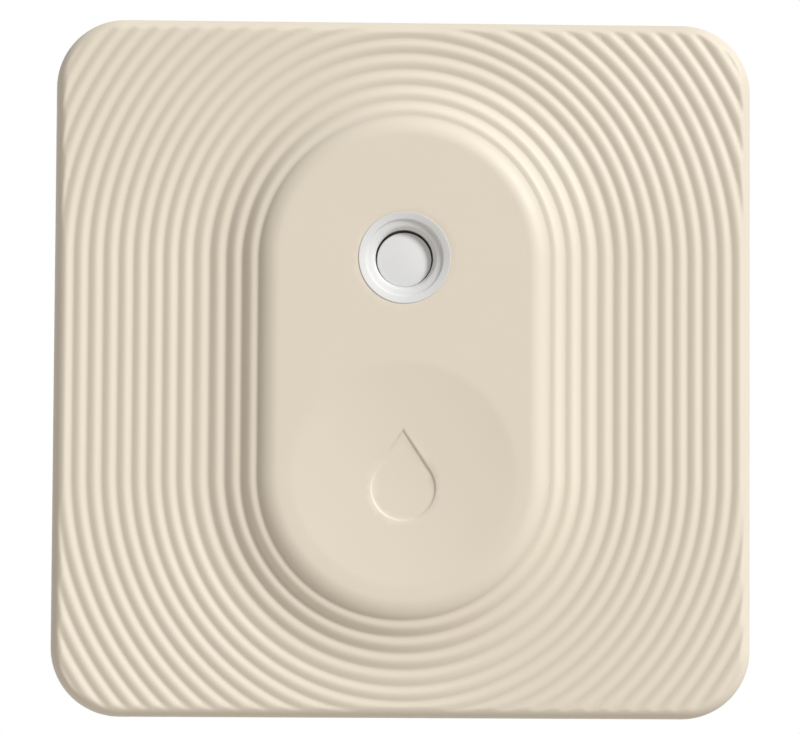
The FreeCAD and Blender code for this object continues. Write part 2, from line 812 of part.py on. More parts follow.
def switch_cover():
    """Pressed metal cover with a hole for the plunger and two side tabs folded down."""
    body = new_body("switch_cover", y=sz.button_y)
    outline = new_sketch(body, "cover_outline", level=switch_top)
    centred_rectangle(outline, sz.switch_width, sz.switch_width)
    pad(body, outline, sz.switch_height - sz.cover_tab_gap, reverse=True)
    hollow = new_sketch(body, "cover_hollow", level=board_top)
    inside = sz.switch_width - sz.switch_cover_sheet * 2
    rectangle(hollow, -sz.switch_width, sz.switch_width, -inside / 2, inside / 2)
    pocket(body, hollow, sz.switch_height - sz.switch_cover_sheet, reverse=True)
    hole = new_sketch(body, "cover_hole", level=switch_top)
    circle(hole, sz.cover_hole_radius)
    pocket(body, hole, sz.switch_cover_sheet * 2)
    return body


plunger_flange_top = switch_top - sz.switch_cover_sheet - sz.plunger_play
plunger_flange_bottom = plunger_flange_top - sz.plunger_flange
dome_top = plunger_flange_bottom - sz.plunger_play
dome_rim = board_top + sz.switch_base_floor + sz.dome_seat_gap


def switch_plunger():
    """Plunger that stands out of the cover, with a flange below it."""
    body = new_body("switch_plunger", y=sz.button_y)
    section = new_sketch(body, "plunger_section", plane="XZ_Plane")
    polygon(section, [
        (0, plunger_flange_bottom),
        (sz.plunger_flange_radius, plunger_flange_bottom),
        (sz.plunger_flange_radius, plunger_flange_top),
        (sz.plunger_radius, plunger_flange_top),
        (sz.plunger_radius, plunger_top),
        (0, plunger_top),
    ])
    revolve(body, section)
    return body


def switch_dome():
    """Thin sprung dome that the plunger presses flat: a level crown and a sloping skirt."""
    body = new_body("switch_dome", y=sz.button_y)
    section = new_sketch(body, "dome_section", plane="XZ_Plane")
    polygon(section, [
        (0, dome_top - sz.dome_sheet),
        (sz.dome_crown_radius, dome_top - sz.dome_sheet),
        (sz.dome_radius - sz.dome_sheet, dome_rim),
        (sz.dome_radius, dome_rim),
        (sz.dome_crown_radius, dome_top),
        (0, dome_top),
    ])
    revolve(body, section)
    return body


def switch_terminals():
    """Four short metal feet beside the switch."""
    body = new_body("switch_terminals", y=sz.button_y)
    feet = new_sketch(body, "terminal_feet", level=board_top)
    near = sz.switch_width / 2
    far = near + sz.terminal_length
    half = sz.terminal_width / 2
    for place in (-sz.terminal_spread, sz.terminal_spread):
        rectangle(feet, near, far, place - half, place + half)
        rectangle(feet, -far, -near, place - half, place + half)
    pad(body, feet, sz.terminal_sheet)
    return body


def circuit_board():
    """Square board with rounded corners, edge notches for the tabs and a slot round the sensor."""
    body = new_body("circuit_board")
    outline = new_sketch(body, "board_outline", level=board_bottom)
    rounded_square(outline, board_half, sz.board_corner)
    pad(body, outline, sz.board_thickness)

    notches = new_sketch(body, "tab_notches", level=board_top)
    for turn, offset in tab_places():
        side_rectangle(
            notches, turn, lip_inner_half - sz.board_notch_gap, case_half, offset,
            sz.tab_width / 2 + sz.board_notch_gap
        )
    pocket(body, notches, sz.board_thickness)

    holes = new_sketch(body, "board_holes", level=board_top)
    for x in (1, -1):
        circle(holes, sz.screw_radius + sz.screw_hole_gap, boss_place * x, boss_place * x)
        circle(holes, sz.pin_radius + sz.pin_hole_gap, boss_place * x, boss_place * -x)
    pocket(body, holes, sz.board_thickness)

    slot_near = sz.sensor_width / 2 + sz.sensor_slot_gap
    slot_far = slot_near + sz.sensor_slot
    break_line = new_sketch(body, "sensor_slot", level=board_top)
    low = sensor_y - sz.sensor_width / 2
    polygon(break_line, [
        (-slot_far, low),
        (-slot_near, low),
        (-slot_near, sensor_y + slot_near),
        (slot_near / 2, sensor_y + slot_near),
        (slot_near / 2, sensor_y + slot_far),
        (-slot_far, sensor_y + slot_far),
    ])
    pocket(body, break_line, sz.board_thickness)
    return body


def board_screws():
    """Two small screws at opposite corners, head behind the board and shank in the boss."""
    body = new_body("board_screws")
    shank = new_sketch(body, "screw_shank", level=board_bottom)
    head = new_sketch(body, "screw_head", level=board_bottom)
    for x in (1, -1):
        circle(shank, sz.screw_radius, boss_place * x, boss_place * x)
        circle(head, sz.screw_head_radius, boss_place * x, boss_place * x)
    pad(body, shank, sz.board_thickness + sz.screw_bite)
    pad(body, head, sz.screw_head, reverse=True)
    return body


holder_inner = sz.cell_radius + sz.holder_gap
holder_outer = holder_inner + sz.holder_wall
holder_bottom = sz.back_wall + sz.holder_floor_gap


def cell_holder():
    """Open ring that holds the button cell, with hooks below it and a mouth for a finger."""
    body = new_body("cell_holder", y=sz.cell_centre_y)
    ring = new_sketch(body, "holder_ring", level=holder_bottom)
    circle(ring, holder_outer)
    circle(ring, holder_inner)
    pad(body, ring, board_bottom - holder_bottom)

    hook = new_sketch(body, "holder_hook", level=holder_bottom)
    rectangle(
        hook, holder_inner - sz.hook_reach, holder_inner + sz.holder_wall / 2, -sz.hook_width / 2, sz.hook_width / 2
    )
    hook_pad = pad(body, hook, cell_bottom - sz.hook_gap - holder_bottom)
    hooks = body.newObject("PartDesign::PolarPattern", "holder_hooks")
    hooks.Originals = [hook_pad]
    hooks.Axis = (hook, ["N_Axis"])
    hooks.Angle = 360.0
    hooks.Occurrences = 6
    body.Tip = hooks
    doc.recompute()

    mouth = new_sketch(body, "holder_mouth", level=board_bottom)
    rectangle(mouth, -holder_outer - sz.cut_over, -sz.cell_radius / 2, -sz.holder_mouth / 2, sz.holder_mouth / 2)
    pocket(body, mouth, board_bottom - holder_bottom)

    half = sz.contact_width / 2 + sz.holder_gap
    window = new_sketch(body, "contact_window", level=board_bottom)
    rectangle(window, sz.cell_radius / 2, holder_inner + sz.contact_pocket, -half, half)
    pocket(body, window, board_bottom - holder_bottom)
    passage = new_sketch(body, "contact_passage", level=board_bottom)
    rectangle(passage, sz.cell_radius, holder_outer + sz.cut_over, -half, half)
    pocket(body, passage, sz.contact_sheet + sz.holder_gap)
    return body


def positive_contact():
    """Bent strip: a foot on the board and a bowed leg against the side of the cell."""
    body = new_body("positive_contact", y=sz.cell_centre_y)
    side = new_sketch(body, "contact_side", plane="XZ_Plane")
    touch = sz.cell_radius + sz.contact_touch_gap
    bend = touch + sz.contact_bow
    leg_middle = cell_bottom + sz.cell_height / 2
    leg_end = cell_bottom + sz.cell_edge
    thick = sz.contact_sheet
    polygon(side, [
        (bend, board_bottom),
        (bend, cell_top - sz.cell_step),
        (touch, leg_middle),
        (bend, leg_end),
        (bend + thick, leg_end),
        (touch + thick, leg_middle),
        (bend + thick, cell_top - sz.cell_step),
        (bend + thick, board_bottom - thick),
        (holder_outer + sz.contact_foot, board_bottom - thick),
        (holder_outer + sz.contact_foot, board_bottom),
    ])
    pad(body, side, sz.contact_width, middle=True)
    return body


def negative_contact():
    """Forked leaf: a foot on the board and two fingers bowed on to the cell's cap."""
    body = new_body("negative_contact", x=-sz.leaf_length / 2, y=sz.cell_centre_y)
    side = new_sketch(body, "leaf_side", plane="XZ_Plane")
    touch = cell_top + sz.contact_touch_gap
    polygon(side, [
        (0, board_bottom),
        (0, board_bottom - sz.leaf_sheet),
        (sz.leaf_foot, board_bottom - sz.leaf_sheet),
        (sz.leaf_length, touch),
        (sz.leaf_length, touch + sz.leaf_sheet),
        (sz.leaf_foot, board_bottom),
    ])
    pad(body, side, sz.leaf_width, middle=True)
    slit = new_sketch(body, "leaf_slit", level=board_bottom)
    rectangle(slit, sz.leaf_foot, sz.leaf_length + sz.cut_over, -sz.leaf_slit / 2, sz.leaf_slit / 2)
    pocket(body, slit, sz.contact_space)
    return body


shelf_level = cell_top - sz.cell_crimp - sz.cell_step
cell_mouth = sz.cell_radius - sz.cell_rim
cap_radius = cell_mouth - sz.cell_seal


def cell_can():
    """Positive can of the button cell, crimped in at its front rim."""
    body = new_body("cell_can", y=sz.cell_centre_y)
    section = new_sketch(body, "can_section", plane="XZ_Plane")
    rim = cell_top - sz.cell_crimp
    polygon(section, [
        (0, cell_bottom),
        (sz.cell_radius, cell_bottom),
        (sz.cell_radius, rim),
        (cell_mouth, rim),
        (cell_mouth, shelf_level),
        (0, shelf_level),
    ])
    can = revolve(body, section)
    outer = sz.cell_radius.number

    def outer_rim(edge):
        return edge.BoundBox.XMax > outer - TOUCH and edge.BoundBox.ZLength < TOUCH

    break_edges(body, can, sz.cell_edge, outer_rim)
    return body


def cell_gasket():
    """Nylon seal between the can's rim and the cap."""
    body = new_body("cell_gasket", y=sz.cell_centre_y)
    ring = new_sketch(body, "gasket_ring", level=shelf_level)
    circle(ring, cell_mouth)
    circle(ring, cap_radius)
    pad(body, ring, sz.cell_step + sz.cell_crimp / 2)
    return body


def cell_cap():
    """Negative cap of the button cell."""
    body = new_body("cell_cap", y=sz.cell_centre_y)
    disc = new_sketch(body, "cap_disc", level=shelf_level)
    circle(disc, cap_radius)
    cap = pad(body, disc, cell_top - shelf_level)
    break_edges(body, cap, sz.cell_step / 2, lies_at(cell_top))
    return body


def controller_chip():
    """Flat leadless chip with a small round mark at one corner."""
    body = new_body("controller_chip", x=-chip_x, y=-sz.chip_y)
    outline = new_sketch(body, "chip_outline", level=board_top)
    centred_rectangle(outline, sz.chip_width, sz.chip_width)
    pad(body, outline, sz.chip_height)
    mark = new_sketch(body, "chip_mark", level=board_top + sz.chip_height)
    place = sz.chip_width / 2 - sz.chip_mark_radius * 2
    circle(mark, sz.chip_mark_radius, -place, place)
    pocket(body, mark, sz.chip_mark_depth)
    return body


def lidded_crystal(label, length, width, height, x, y):
    """Crystal package: a ceramic base with a smaller metal lid on it."""
    body = new_body(label, x=x, y=y)
    base = new_sketch(body, label + "_base", level=board_top)
    centred_rectangle(base, length, width)
    pad(body, base, height - sz.lid_height)
    lid = new_sketch(body, label + "_lid", level=board_top + height - sz.lid_height)
    centred_rectangle(lid, length - sz.lid_inset * 2, width - sz.lid_inset * 2)
    pad(body, lid, sz.lid_height)
    return body


def climate_sensor():
    """Square sensor chip behind the board, with a round port for the air."""
    body = new_body("climate_sensor", y=sensor_y)
    outline = new_sketch(body, "sensor_outline", level=board_bottom)
    centred_rectangle(outline, sz.sensor_width, sz.sensor_width)
    pad(body, outline, sz.sensor_height, reverse=True)
    port = new_sketch(body, "sensor_port", level=board_bottom - sz.sensor_height)
    circle(port, sz.sensor_port_radius)
    pocket(body, port, sz.sensor_port_depth, reverse=True)
    return body


def indicator_lamps():
    """Two chip lamps, one under each leg of the light ring."""
    body = new_body("indicator_lamps", y=sz.button_y)
    outline = new_sketch(body, "lamp_outline", level=board_top)
    middle = (sz.leg_inner + sz.ring_flange_radius) / 2
    half_x = sz.lamp_width / 2
    half_y = sz.lamp_length / 2
    rectangle(outline, middle - half_x, middle + half_x, -half_y, half_y)
    rectangle(outline, -middle - half_x, -middle + half_x, -half_y, half_y)
    pad(body, outline, sz.lamp_height)
    return body


def reserve_capacitor():
    """Larger capacitor that helps the cell through radio bursts."""
    body = new_body("reserve_capacitor", x=board_half - sz.reserve_from_side, y=-sz.reserve_y)
    outline = new_sketch(body, "reserve_outline", level=board_top)
    centred_rectangle(outline, sz.reserve_length, sz.reserve_width)
    pad(body, outline, sz.reserve_height)
    return body


def chip_row(label, count, height, x, y):
    """A row of small chip parts, each its own solid."""
    body = new_body(label, x=x, y=y)
    row = new_sketch(body, label + "_row", level=board_top)
    for i in range(round(count.number)):
        low = sz.chip_part_pitch * i
        rectangle(row, -sz.chip_part_length / 2, sz.chip_part_length / 2, low, low + sz.chip_part_width)
    pad(body, row, height)
    return body


def antenna_trace():
    """Printed aerial that folds to and fro along the board's top edge."""
    body = new_body("antenna_trace")
    track = new_sketch(body, "antenna_track", level=board_top)
    fingers = round(sz.trace_fingers.number)
    high = board_half - sz.trace_inset
    low = high - sz.trace_depth
    left = -sz.trace_pitch * fingers / 2
    upper, lower = [], []
    for i in range(fingers):
        start = left + sz.trace_pitch * i
        middle = start + sz.trace_pitch / 2
        stop = start + sz.trace_pitch
        upper += [(start, low + sz.trace_width), (middle - sz.trace_width / 2, low + sz.trace_width)]
        upper += [(middle - sz.trace_width / 2, high), (stop + sz.trace_width / 2, high)]
        lower += [(start, low), (middle + sz.trace_width / 2, low)]
        lower += [(middle + sz.trace_width / 2, high - sz.trace_width), (stop - sz.trace_width / 2, high - sz.trace_width)]
        if i + 1 < fingers:
            upper += [(stop + sz.trace_width / 2, low + sz.trace_width)]
            lower += [(stop - sz.trace_width / 2, low)]
    upper += [(left + sz.trace_pitch * fingers + sz.trace_width / 2, low)]
    lower += [(left + sz.trace_pitch * fingers - sz.trace_width / 2, low)]
    polygon(track, upper + lower[::-1])
    pad(body, track, sz.trace_sheet)
    return body


parts = [
    front_shell(),
    rear_housing(),
    light_ring(),
    button_cap(),
    switch_body(),
    switch_cover(),
    switch_plunger(),
    switch_dome(),
    switch_terminals(),
    circuit_board(),
    board_screws(),
    cell_holder(),
    positive_contact(),
    negative_contact(),
    cell_can(),
    cell_gasket(),
    cell_cap(),
    controller_chip(),
    lidded_crystal(
        "clock_crystal", sz.clock_length, sz.clock_width, sz.clock_height,
        sz.clock_from_side - board_half, sz.clock_from_bottom - board_half
    ),
    lidded_crystal("timing_crystal", sz.timer_length, sz.timer_width, sz.timer_height, -sz.timer_x, -sz.timer_y),
    climate_sensor(),
    indicator_lamps(),
    reserve_capacitor(),
    chip_row(
        "chip_capacitors", sz.capacitor_count, sz.capacitor_height,
        -chip_x + sz.chip_width / 2 + sz.chip_part_gap * 2, -sz.chip_y - sz.chip_width / 2
    ),
    chip_row(
        "chip_resistors", sz.resistor_count, sz.resistor_height,
        -chip_x - sz.chip_width / 2 - sz.chip_part_gap * 2, -sz.chip_y - sz.chip_width / 2
    ),
    antenna_trace(),
]

doc.recompute()
failed = [o.Name for o in doc.Objects if "Invalid" in o.State or "Error" in o.State]
failed += [p.Label for p in parts if p.Shape.isNull() or not p.Shape.isValid() or not p.Shape.Solids]
if failed:
    raise RuntimeError(f"not built: {failed}")
for part in parts:
    part.Shape.exportStep(f"parts/{part.Label}.step")
    box = part.Shape.BoundBox
    print(
        f"{part.Label:18s} solids {len(part.Shape.Solids)}  volume {part.Shape.Volume:9.3f}"
        f"  z {box.ZMin:6.3f} to {box.ZMax:6.3f}"
    )
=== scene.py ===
# %% [markdown]
# # A small square room sensor
#
# The part is a 37 mm square of cream plastic that measures temperature and humidity.
# Its front is covered with fine ripples that run round a raised pill, like water round a stone.
# It could all be modelled here, but the CAD build has made every solid already. So this script
# loads them in their places and adds what CAD leaves plain: a fine skin, soft edges, finishes and
# light.

import json
import math

import bmesh
import bpy
import numpy as np
from mathutils import Matrix, Vector
from mathutils.geometry import delaunay_2d_cdt


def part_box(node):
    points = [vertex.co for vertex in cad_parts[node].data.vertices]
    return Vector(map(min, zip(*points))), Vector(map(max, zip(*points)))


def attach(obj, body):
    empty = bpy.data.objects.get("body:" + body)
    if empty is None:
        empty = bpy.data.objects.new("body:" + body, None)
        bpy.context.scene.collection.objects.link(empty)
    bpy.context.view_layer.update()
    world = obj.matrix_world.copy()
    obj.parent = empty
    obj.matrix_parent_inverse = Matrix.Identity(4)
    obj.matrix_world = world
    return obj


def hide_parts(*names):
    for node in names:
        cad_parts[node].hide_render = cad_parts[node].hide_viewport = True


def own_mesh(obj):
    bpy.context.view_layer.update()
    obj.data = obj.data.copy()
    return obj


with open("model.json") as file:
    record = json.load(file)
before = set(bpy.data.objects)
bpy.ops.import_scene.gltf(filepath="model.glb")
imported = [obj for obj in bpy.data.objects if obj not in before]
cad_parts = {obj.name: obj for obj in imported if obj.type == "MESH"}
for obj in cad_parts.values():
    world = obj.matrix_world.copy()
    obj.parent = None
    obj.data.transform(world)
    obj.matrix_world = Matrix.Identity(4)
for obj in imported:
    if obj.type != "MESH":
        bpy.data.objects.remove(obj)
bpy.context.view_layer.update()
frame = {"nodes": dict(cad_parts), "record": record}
nodes = frame["nodes"]
MM = 0.001
print("pieces in the frame:", len(nodes))

# %% [markdown]
# ## The outline of the case
#
# Seen from the front the case is a square with round corners, and its edge is a quarter round.
# A bevelled cube would give that form, but the ripples run out over this edge and end on its slope.
# So both are formulas over one plan: how far inside the outline a spot lies, and how high the
# rounded edge is there. The sizes are those of the CAD source, in millimetres.

# %% Outline and rounded edge
CASE_HALF = 18.5
CORNER_RADIUS = 3.65
EDGE_RADIUS = 0.9
PLATEAU_LEVEL = 11.0
RIB_LEVEL = 9.7
EDGE_ABOVE_RIBS = 0.05
EDGE_CENTRE = RIB_LEVEL + EDGE_ABOVE_RIBS - EDGE_RADIUS


def inset(x, y):
    """Distance inside the rounded square outline."""
    past_x = np.abs(x) - (CASE_HALF - CORNER_RADIUS)
    past_y = np.abs(y) - (CASE_HALF - CORNER_RADIUS)
    corner = np.hypot(np.maximum(past_x, 0.0), np.maximum(past_y, 0.0))
    return CORNER_RADIUS - corner - np.minimum(np.maximum(past_x, past_y), 0.0)


def edge_height(x, y):
    """Height of the rounded edge over a spot, or the pill's level further in."""
    into = EDGE_RADIUS - np.clip(inset(x, y), 0.0, EDGE_RADIUS)
    rounded = EDGE_CENTRE + np.sqrt(np.maximum(EDGE_RADIUS**2 - into**2, 0.0))
    return np.where(into > 0.0, rounded, PLATEAU_LEVEL)


print("the case is", 2 * CASE_HALF, "mm square, with an edge rounded by", EDGE_RADIUS, "mm")

# %% [markdown]
# ## The ripples
#
# The ripples are ridges moulded into the front, each at its own distance from the pill's centre
# line, so a ripple's height depends on that one distance. Tubes could be swept round the pill and
# joined to the face, with a seam to clean along each. One height formula has no seams.
# A ripple has a round crest and a narrower valley, which a sine with some of its square gives.
# The inner four climb a hollow flare to the pill's foot and grow taller as they climb.

# %% Sizes of the ripples and the pill
PILL_HALF_LENGTH = 5.65
PILL_FLAT = 6.6
FIRST_VALLEY = 7.67
FLARE_OUTER = 11.15
FLARE_RISE = 0.93
FLARE_RIBS = 4
RIB_PITCH = 0.79
RIB_DEPTH = 0.105
FLARE_RIB_EXTRA = 0.075
VALLEY_WIDTH = 0.58

FIELD_LEVEL = RIB_LEVEL - RIB_DEPTH
FLARE_RUN = FLARE_OUTER - FIRST_VALLEY
FLARE_PITCH = FLARE_RUN / FLARE_RIBS
FLARE_BEND = (FLARE_RUN**2 + FLARE_RISE**2) / (2 * FLARE_RISE)
SHOULDER_RUN = FIRST_VALLEY - PILL_FLAT
SHOULDER_DROP = PLATEAU_LEVEL - FIELD_LEVEL - FLARE_RISE
SHOULDER_BEND = (SHOULDER_RUN**2 + SHOULDER_DROP**2) / (2 * SHOULDER_DROP)
print("pitch on the flare:", round(FLARE_PITCH, 3), "mm, outside it:", RIB_PITCH, "mm")


# %% Height of the rippled front
def out_from_pill(x, y):
    """Distance from the pill's centre line."""
    return np.hypot(x, np.maximum(np.abs(y) - PILL_HALF_LENGTH, 0.0))


def ripple_share(out):
    """Share of a ripple's full height at a distance from the centre line."""
    on_flare = (out - FIRST_VALLEY) / FLARE_PITCH
    past_flare = FLARE_RIBS + (out - FLARE_OUTER) / RIB_PITCH
    ribs = np.where(out < FLARE_OUTER, on_flare, past_flare)
    wave = np.sin(math.pi * (ribs - np.floor(ribs)))
    return (1 - VALLEY_WIDTH) * wave + VALLEY_WIDTH * wave**2


def face_height(out):
    """Height of the shoulder, the flare and the ripples at a distance from the centre line."""
    run = np.clip(out - PILL_FLAT, 0.0, SHOULDER_RUN)
    shoulder = PLATEAU_LEVEL - SHOULDER_BEND + np.sqrt(SHOULDER_BEND**2 - run**2)
    left = np.clip(FLARE_OUTER - out, 0.0, FLARE_RUN)
    base = FIELD_LEVEL + FLARE_BEND - np.sqrt(FLARE_BEND**2 - left**2)
    depth = RIB_DEPTH + FLARE_RIB_EXTRA * left / FLARE_RUN
    return np.where(out < FIRST_VALLEY, shoulder, base + depth * ripple_share(out))


def front_height(x, y):
    """Height of the whole front: its face or its rounded edge, whichever is lower."""
    return np.minimum(face_height(out_from_pill(x, y)), edge_height(x, y))


print("the pill's foot is", round(float(face_height(FIRST_VALLEY)), 3), "mm above the back")

# %% [markdown]
# ## Painted shade in the valleys
#
# Less light reaches the ground between two ridges, so cream plastic looks a little deeper in each
# valley and at the pill's foot, and a little paler on the crests. An ambient occlusion node in the
# shader finds such hollows, but it doubles the time of a render and leaves grain in the shade.
# Here the shade is painted into the colour instead: a formula knows the hollows, so each point of
# the mesh gets its share of painted shade, and of painted highlight on the crests, as an attribute
# that the shell's finish reads.

# %% Share of the painted shade and highlight
# These set the shade painted into the cream at the pill's foot and in the valleys, and the highlight
# painted on the crests.
FOOT_SHADE = 0.45
CREST_PAINTED_HIGHLIGHT = 0.25
PAINTED_SHADE_FADE = 0.2
PAINTED_SHADE_REACH = 0.1


def painted_shade_share(x, y, z):
    """Painted shade by depth between ripples: 1 in a valley, a little below 0, a highlight, on a
    crest.
    """
    out = out_from_pill(x, y)
    foot = np.clip(1 - (FIRST_VALLEY - out) / FOOT_SHADE, 0, 1) ** 2
    ripple = ripple_share(out)
    # Painted shade in the valleys and at the foot, painted highlight on the crests.
    share = np.where(out < FIRST_VALLEY, foot, (1 - ripple) ** 2 - CREST_PAINTED_HIGHLIGHT * ripple)
    share *= np.clip(inset(x, y) / EDGE_RADIUS - PAINTED_SHADE_FADE, 0, 1)
    return np.where(z > front_height(x, y) - PAINTED_SHADE_REACH, share, 0.0)


print("share in the first valley:", float(painted_shade_share(FIRST_VALLEY, 0.0, PLATEAU_LEVEL)))

# %% [markdown]
# ## The finger dish
#
# The lower half of the pill is hollowed out very slightly, as a rest for a finger.
# Cutting a ball out of the top would leave a sharp circle. This bowl is a formula that melts into
# the flat top over a short way, as a polished mould leaves it.

# %% Height of the pill's top
DISH_RADIUS = 5.9
DISH_DEPTH = 0.29
DISH_EASE = 0.015


def dish_height(x, y):
    """Height of the pill's top with its finger dish."""
    bowl = DISH_DEPTH * (1.0 - (x**2 + (y + PILL_HALF_LENGTH) ** 2) / DISH_RADIUS**2)
    return PLATEAU_LEVEL - (bowl + np.sqrt(bowl**2 + DISH_EASE**2)) / 2


dish_floor = float(dish_height(0.0, -PILL_HALF_LENGTH))
print("the dish is", round(PLATEAU_LEVEL - dish_floor, 3), "mm deep")

# %% [markdown]
# ## The water drop
#
# A plain water drop, a generic sign for humidity, is pressed into the middle of the dish.
# It is a tenth of a millimetre deep, with a narrow sloping wall, as a mould insert would leave it.
# A boolean cut would cross the mesh at random. Instead the drop's outline, an arc and two straight
# sides that meet in a tip, is repeated a little further in for each step down the wall. These
# outlines become edges of the mesh, so the drop stays crisp.

# %% Outline of the drop
DROP_RADIUS = 1.75
DROP_CENTRE_Y = -PILL_HALF_LENGTH - 0.75
DROP_HALF_ANGLE = math.radians(33.0)
DROP_DEPTH = 0.09
DROP_ARC_STEPS = 72
WALL_STEPS = [(0.0, 0.0), (0.03, 0.12), (0.09, 0.88), (0.12, 1.0)]


def drop_outline(shrink):
    """Corners of the drop's outline, moved inwards by a distance."""
    radius = DROP_RADIUS - shrink
    corners = [(0.0, DROP_CENTRE_Y + radius / math.sin(DROP_HALF_ANGLE))]
    low, high = math.pi - DROP_HALF_ANGLE, 2 * math.pi + DROP_HALF_ANGLE
    for i in range(DROP_ARC_STEPS + 1):
        angle = low + (high - low) * i / DROP_ARC_STEPS
        corners.append((radius * math.cos(angle), DROP_CENTRE_Y + radius * math.sin(angle)))
    return corners


def from_drop(x, y):
    """Distance outside the drop's outline, below zero inside it."""
    tip = DROP_CENTRE_Y + DROP_RADIUS / math.sin(DROP_HALF_ANGLE)
    slant = np.abs(x) * math.cos(DROP_HALF_ANGLE) - (tip - y) * math.sin(DROP_HALF_ANGLE)
    bulb = np.hypot(x, y - DROP_CENTRE_Y) - DROP_RADIUS
    return np.where(y < DROP_CENTRE_Y + DROP_RADIUS * math.sin(DROP_HALF_ANGLE), bulb, slant)


print("the drop is", round(DROP_RADIUS / math.sin(DROP_HALF_ANGLE) + DROP_RADIUS, 2), "mm tall")

# %% [markdown]
# ## Rays that follow the ripples
#
# The skin could be a plain square grid, but a ridge that crosses a grid at a slant comes out as a
# staircase. Here the mesh is built on rays that leave the pill's centre line at right angles: side
# by side along the pill's straight sides, and fanned out round its ends. Every ray crosses every
# ripple squarely, so a modest number of points gives clean ridges. The fan is finer towards the
# corners of the case, where the rays are longest.

# %% Feet and directions of the rays
STRAIGHT_RAYS = 10
FAN_STEP = 1.5
CORNER_FAN_STEP = 0.75
CORNER_TURN = 33.5
CORNER_SPREAD = 12.0
HALF_TURN = 180.0


def fan_turns():
    """Angles of the rays round one end of the pill, in degrees."""
    turns = []
    turn = 0.0
    while turn < HALF_TURN:
        turns.append(turn)
        from_corner = min(abs(turn - CORNER_TURN), abs(turn - HALF_TURN + CORNER_TURN))
        turn += CORNER_FAN_STEP if from_corner < CORNER_SPREAD else FAN_STEP
    return turns


def ray_list():
    """Foot points and directions of the rays, counter-clockwise from the lower right."""
    feet, ways = [], []
    straight = np.linspace(-PILL_HALF_LENGTH, PILL_HALF_LENGTH, STRAIGHT_RAYS, endpoint=False)
    for side in (1, -1):
        for y in straight:
            feet.append((0.0, side * y))
            ways.append((side * 1.0, 0.0))
        for turn in fan_turns():
            angle = math.radians(turn + (0 if side > 0 else HALF_TURN))
            feet.append((0.0, side * PILL_HALF_LENGTH))
            ways.append((math.cos(angle), math.sin(angle)))
    return np.array(feet), np.array(ways)


feet, ways = ray_list()
print("rays:", len(feet))

# %% [markdown]
# ## Points along the rays
#
# Each ray carries the same rings of points: a few before the pill's shoulder, many on it, and
# thirteen for each ripple. Evenly spaced rings would be simpler, but would miss some crests and
# valleys, so the rings keep step with the ripples.

# %% Rings on every ray
PATCH_OUT = 6.3
PATCH_RINGS = 3
SHOULDER_STEPS = 14
STEPS_PER_RIB = 13
FARTHEST_OUT = 1.3 * CASE_HALF
RIM_INSET = 0.62
RIM_CLEARANCE = 0.03

on_patch = np.linspace(PATCH_OUT, PILL_FLAT, PATCH_RINGS)
on_shoulder = np.linspace(PILL_FLAT, FIRST_VALLEY, SHOULDER_STEPS + 1)[1:]
on_flare = np.linspace(FIRST_VALLEY, FLARE_OUTER, FLARE_RIBS * STEPS_PER_RIB + 1)[1:]
on_field = np.arange(FLARE_OUTER, FARTHEST_OUT, RIB_PITCH / STEPS_PER_RIB)[1:]
rings = np.concatenate([on_patch, on_shoulder, on_flare, on_field])
spots = feet[:, None, :] + ways[:, None, :] * rings[None, :, None]
inside = inset(spots[:, :, 0], spots[:, :, 1]) > RIM_INSET + RIM_CLEARANCE
reach = inside.sum(axis=1) - 1
print("rings:", len(rings), "points inside the rim:", int(inside.sum()))

# %% [markdown]
# ## The rim and the edge
#
# The rays end in a ragged stair near the outline, which has to be smooth. So the rim is a loop of
# its own, just inside the rounded edge, and from there rows of points roll over the quarter round
# and drop to a small break at the parting line. A bevel modifier could round the edge, but it
# wouldn't let the ripples' ends sink into it.

# %% The rim's loop
RIM_STEP = 0.16


def rim_loop():
    """Points on the rim with their outward directions, counter-clockwise."""
    straight = CASE_HALF - CORNER_RADIUS
    radius = CORNER_RADIUS - RIM_INSET
    along = np.linspace(-straight, straight, round(2 * straight / RIM_STEP), endpoint=False)
    turns = np.linspace(0, math.pi / 2, round(radius * math.pi / 2 / RIM_STEP), endpoint=False)
    side = np.column_stack([np.full(len(along), CASE_HALF - RIM_INSET), along])
    outward = np.column_stack([np.cos(turns), np.sin(turns)])
    corner = np.array([straight, straight]) + outward * radius
    points, normals = [], []
    for quarter in range(4):
        angle = quarter * math.pi / 2
        spin = np.array([[math.cos(angle), -math.sin(angle)], [math.sin(angle), math.cos(angle)]])
        points += list(side @ spin.T) + list(corner @ spin.T)
        normals += [spin @ (1, 0)] * len(along) + list(outward @ spin.T)
    return np.array(points), np.array(normals)


rim, rim_ways = rim_loop()
print("points on the rim:", len(rim))

# %% Rows over the edge
ROLL_STEPS = 12
PARTING_LEVEL = 7.9
PARTING_BREAK = 0.15


def lift(plan, height):
    """Plan points with the height that a formula gives them."""
    return np.column_stack([plan, height(plan[:, 0], plan[:, 1])])


def rim_rows():
    """Rows of points from the rim over the edge and down to the parting line."""
    rows = [lift(rim, front_height)]
    first = math.asin(1 - RIM_INSET / EDGE_RADIUS)
    for angle in np.linspace(first, math.pi / 2, ROLL_STEPS + 1)[1:]:
        row = rim + rim_ways * (RIM_INSET - EDGE_RADIUS * (1 - math.sin(angle)))
        face = face_height(out_from_pill(row[:, 0], row[:, 1]))
        rounded = EDGE_CENTRE + EDGE_RADIUS * math.cos(angle)
        rows.append(np.column_stack([row, np.minimum(rounded, face)]))
    wall = rim + rim_ways * RIM_INSET
    foot = rim + rim_ways * (RIM_INSET - PARTING_BREAK)
    for row, level in ((wall, PARTING_LEVEL + PARTING_BREAK), (foot, PARTING_LEVEL)):
        rows.append(np.column_stack([row, np.full(len(row), level)]))
    return rows


edge_rows = rim_rows()
print("rows over the edge:", len(edge_rows))

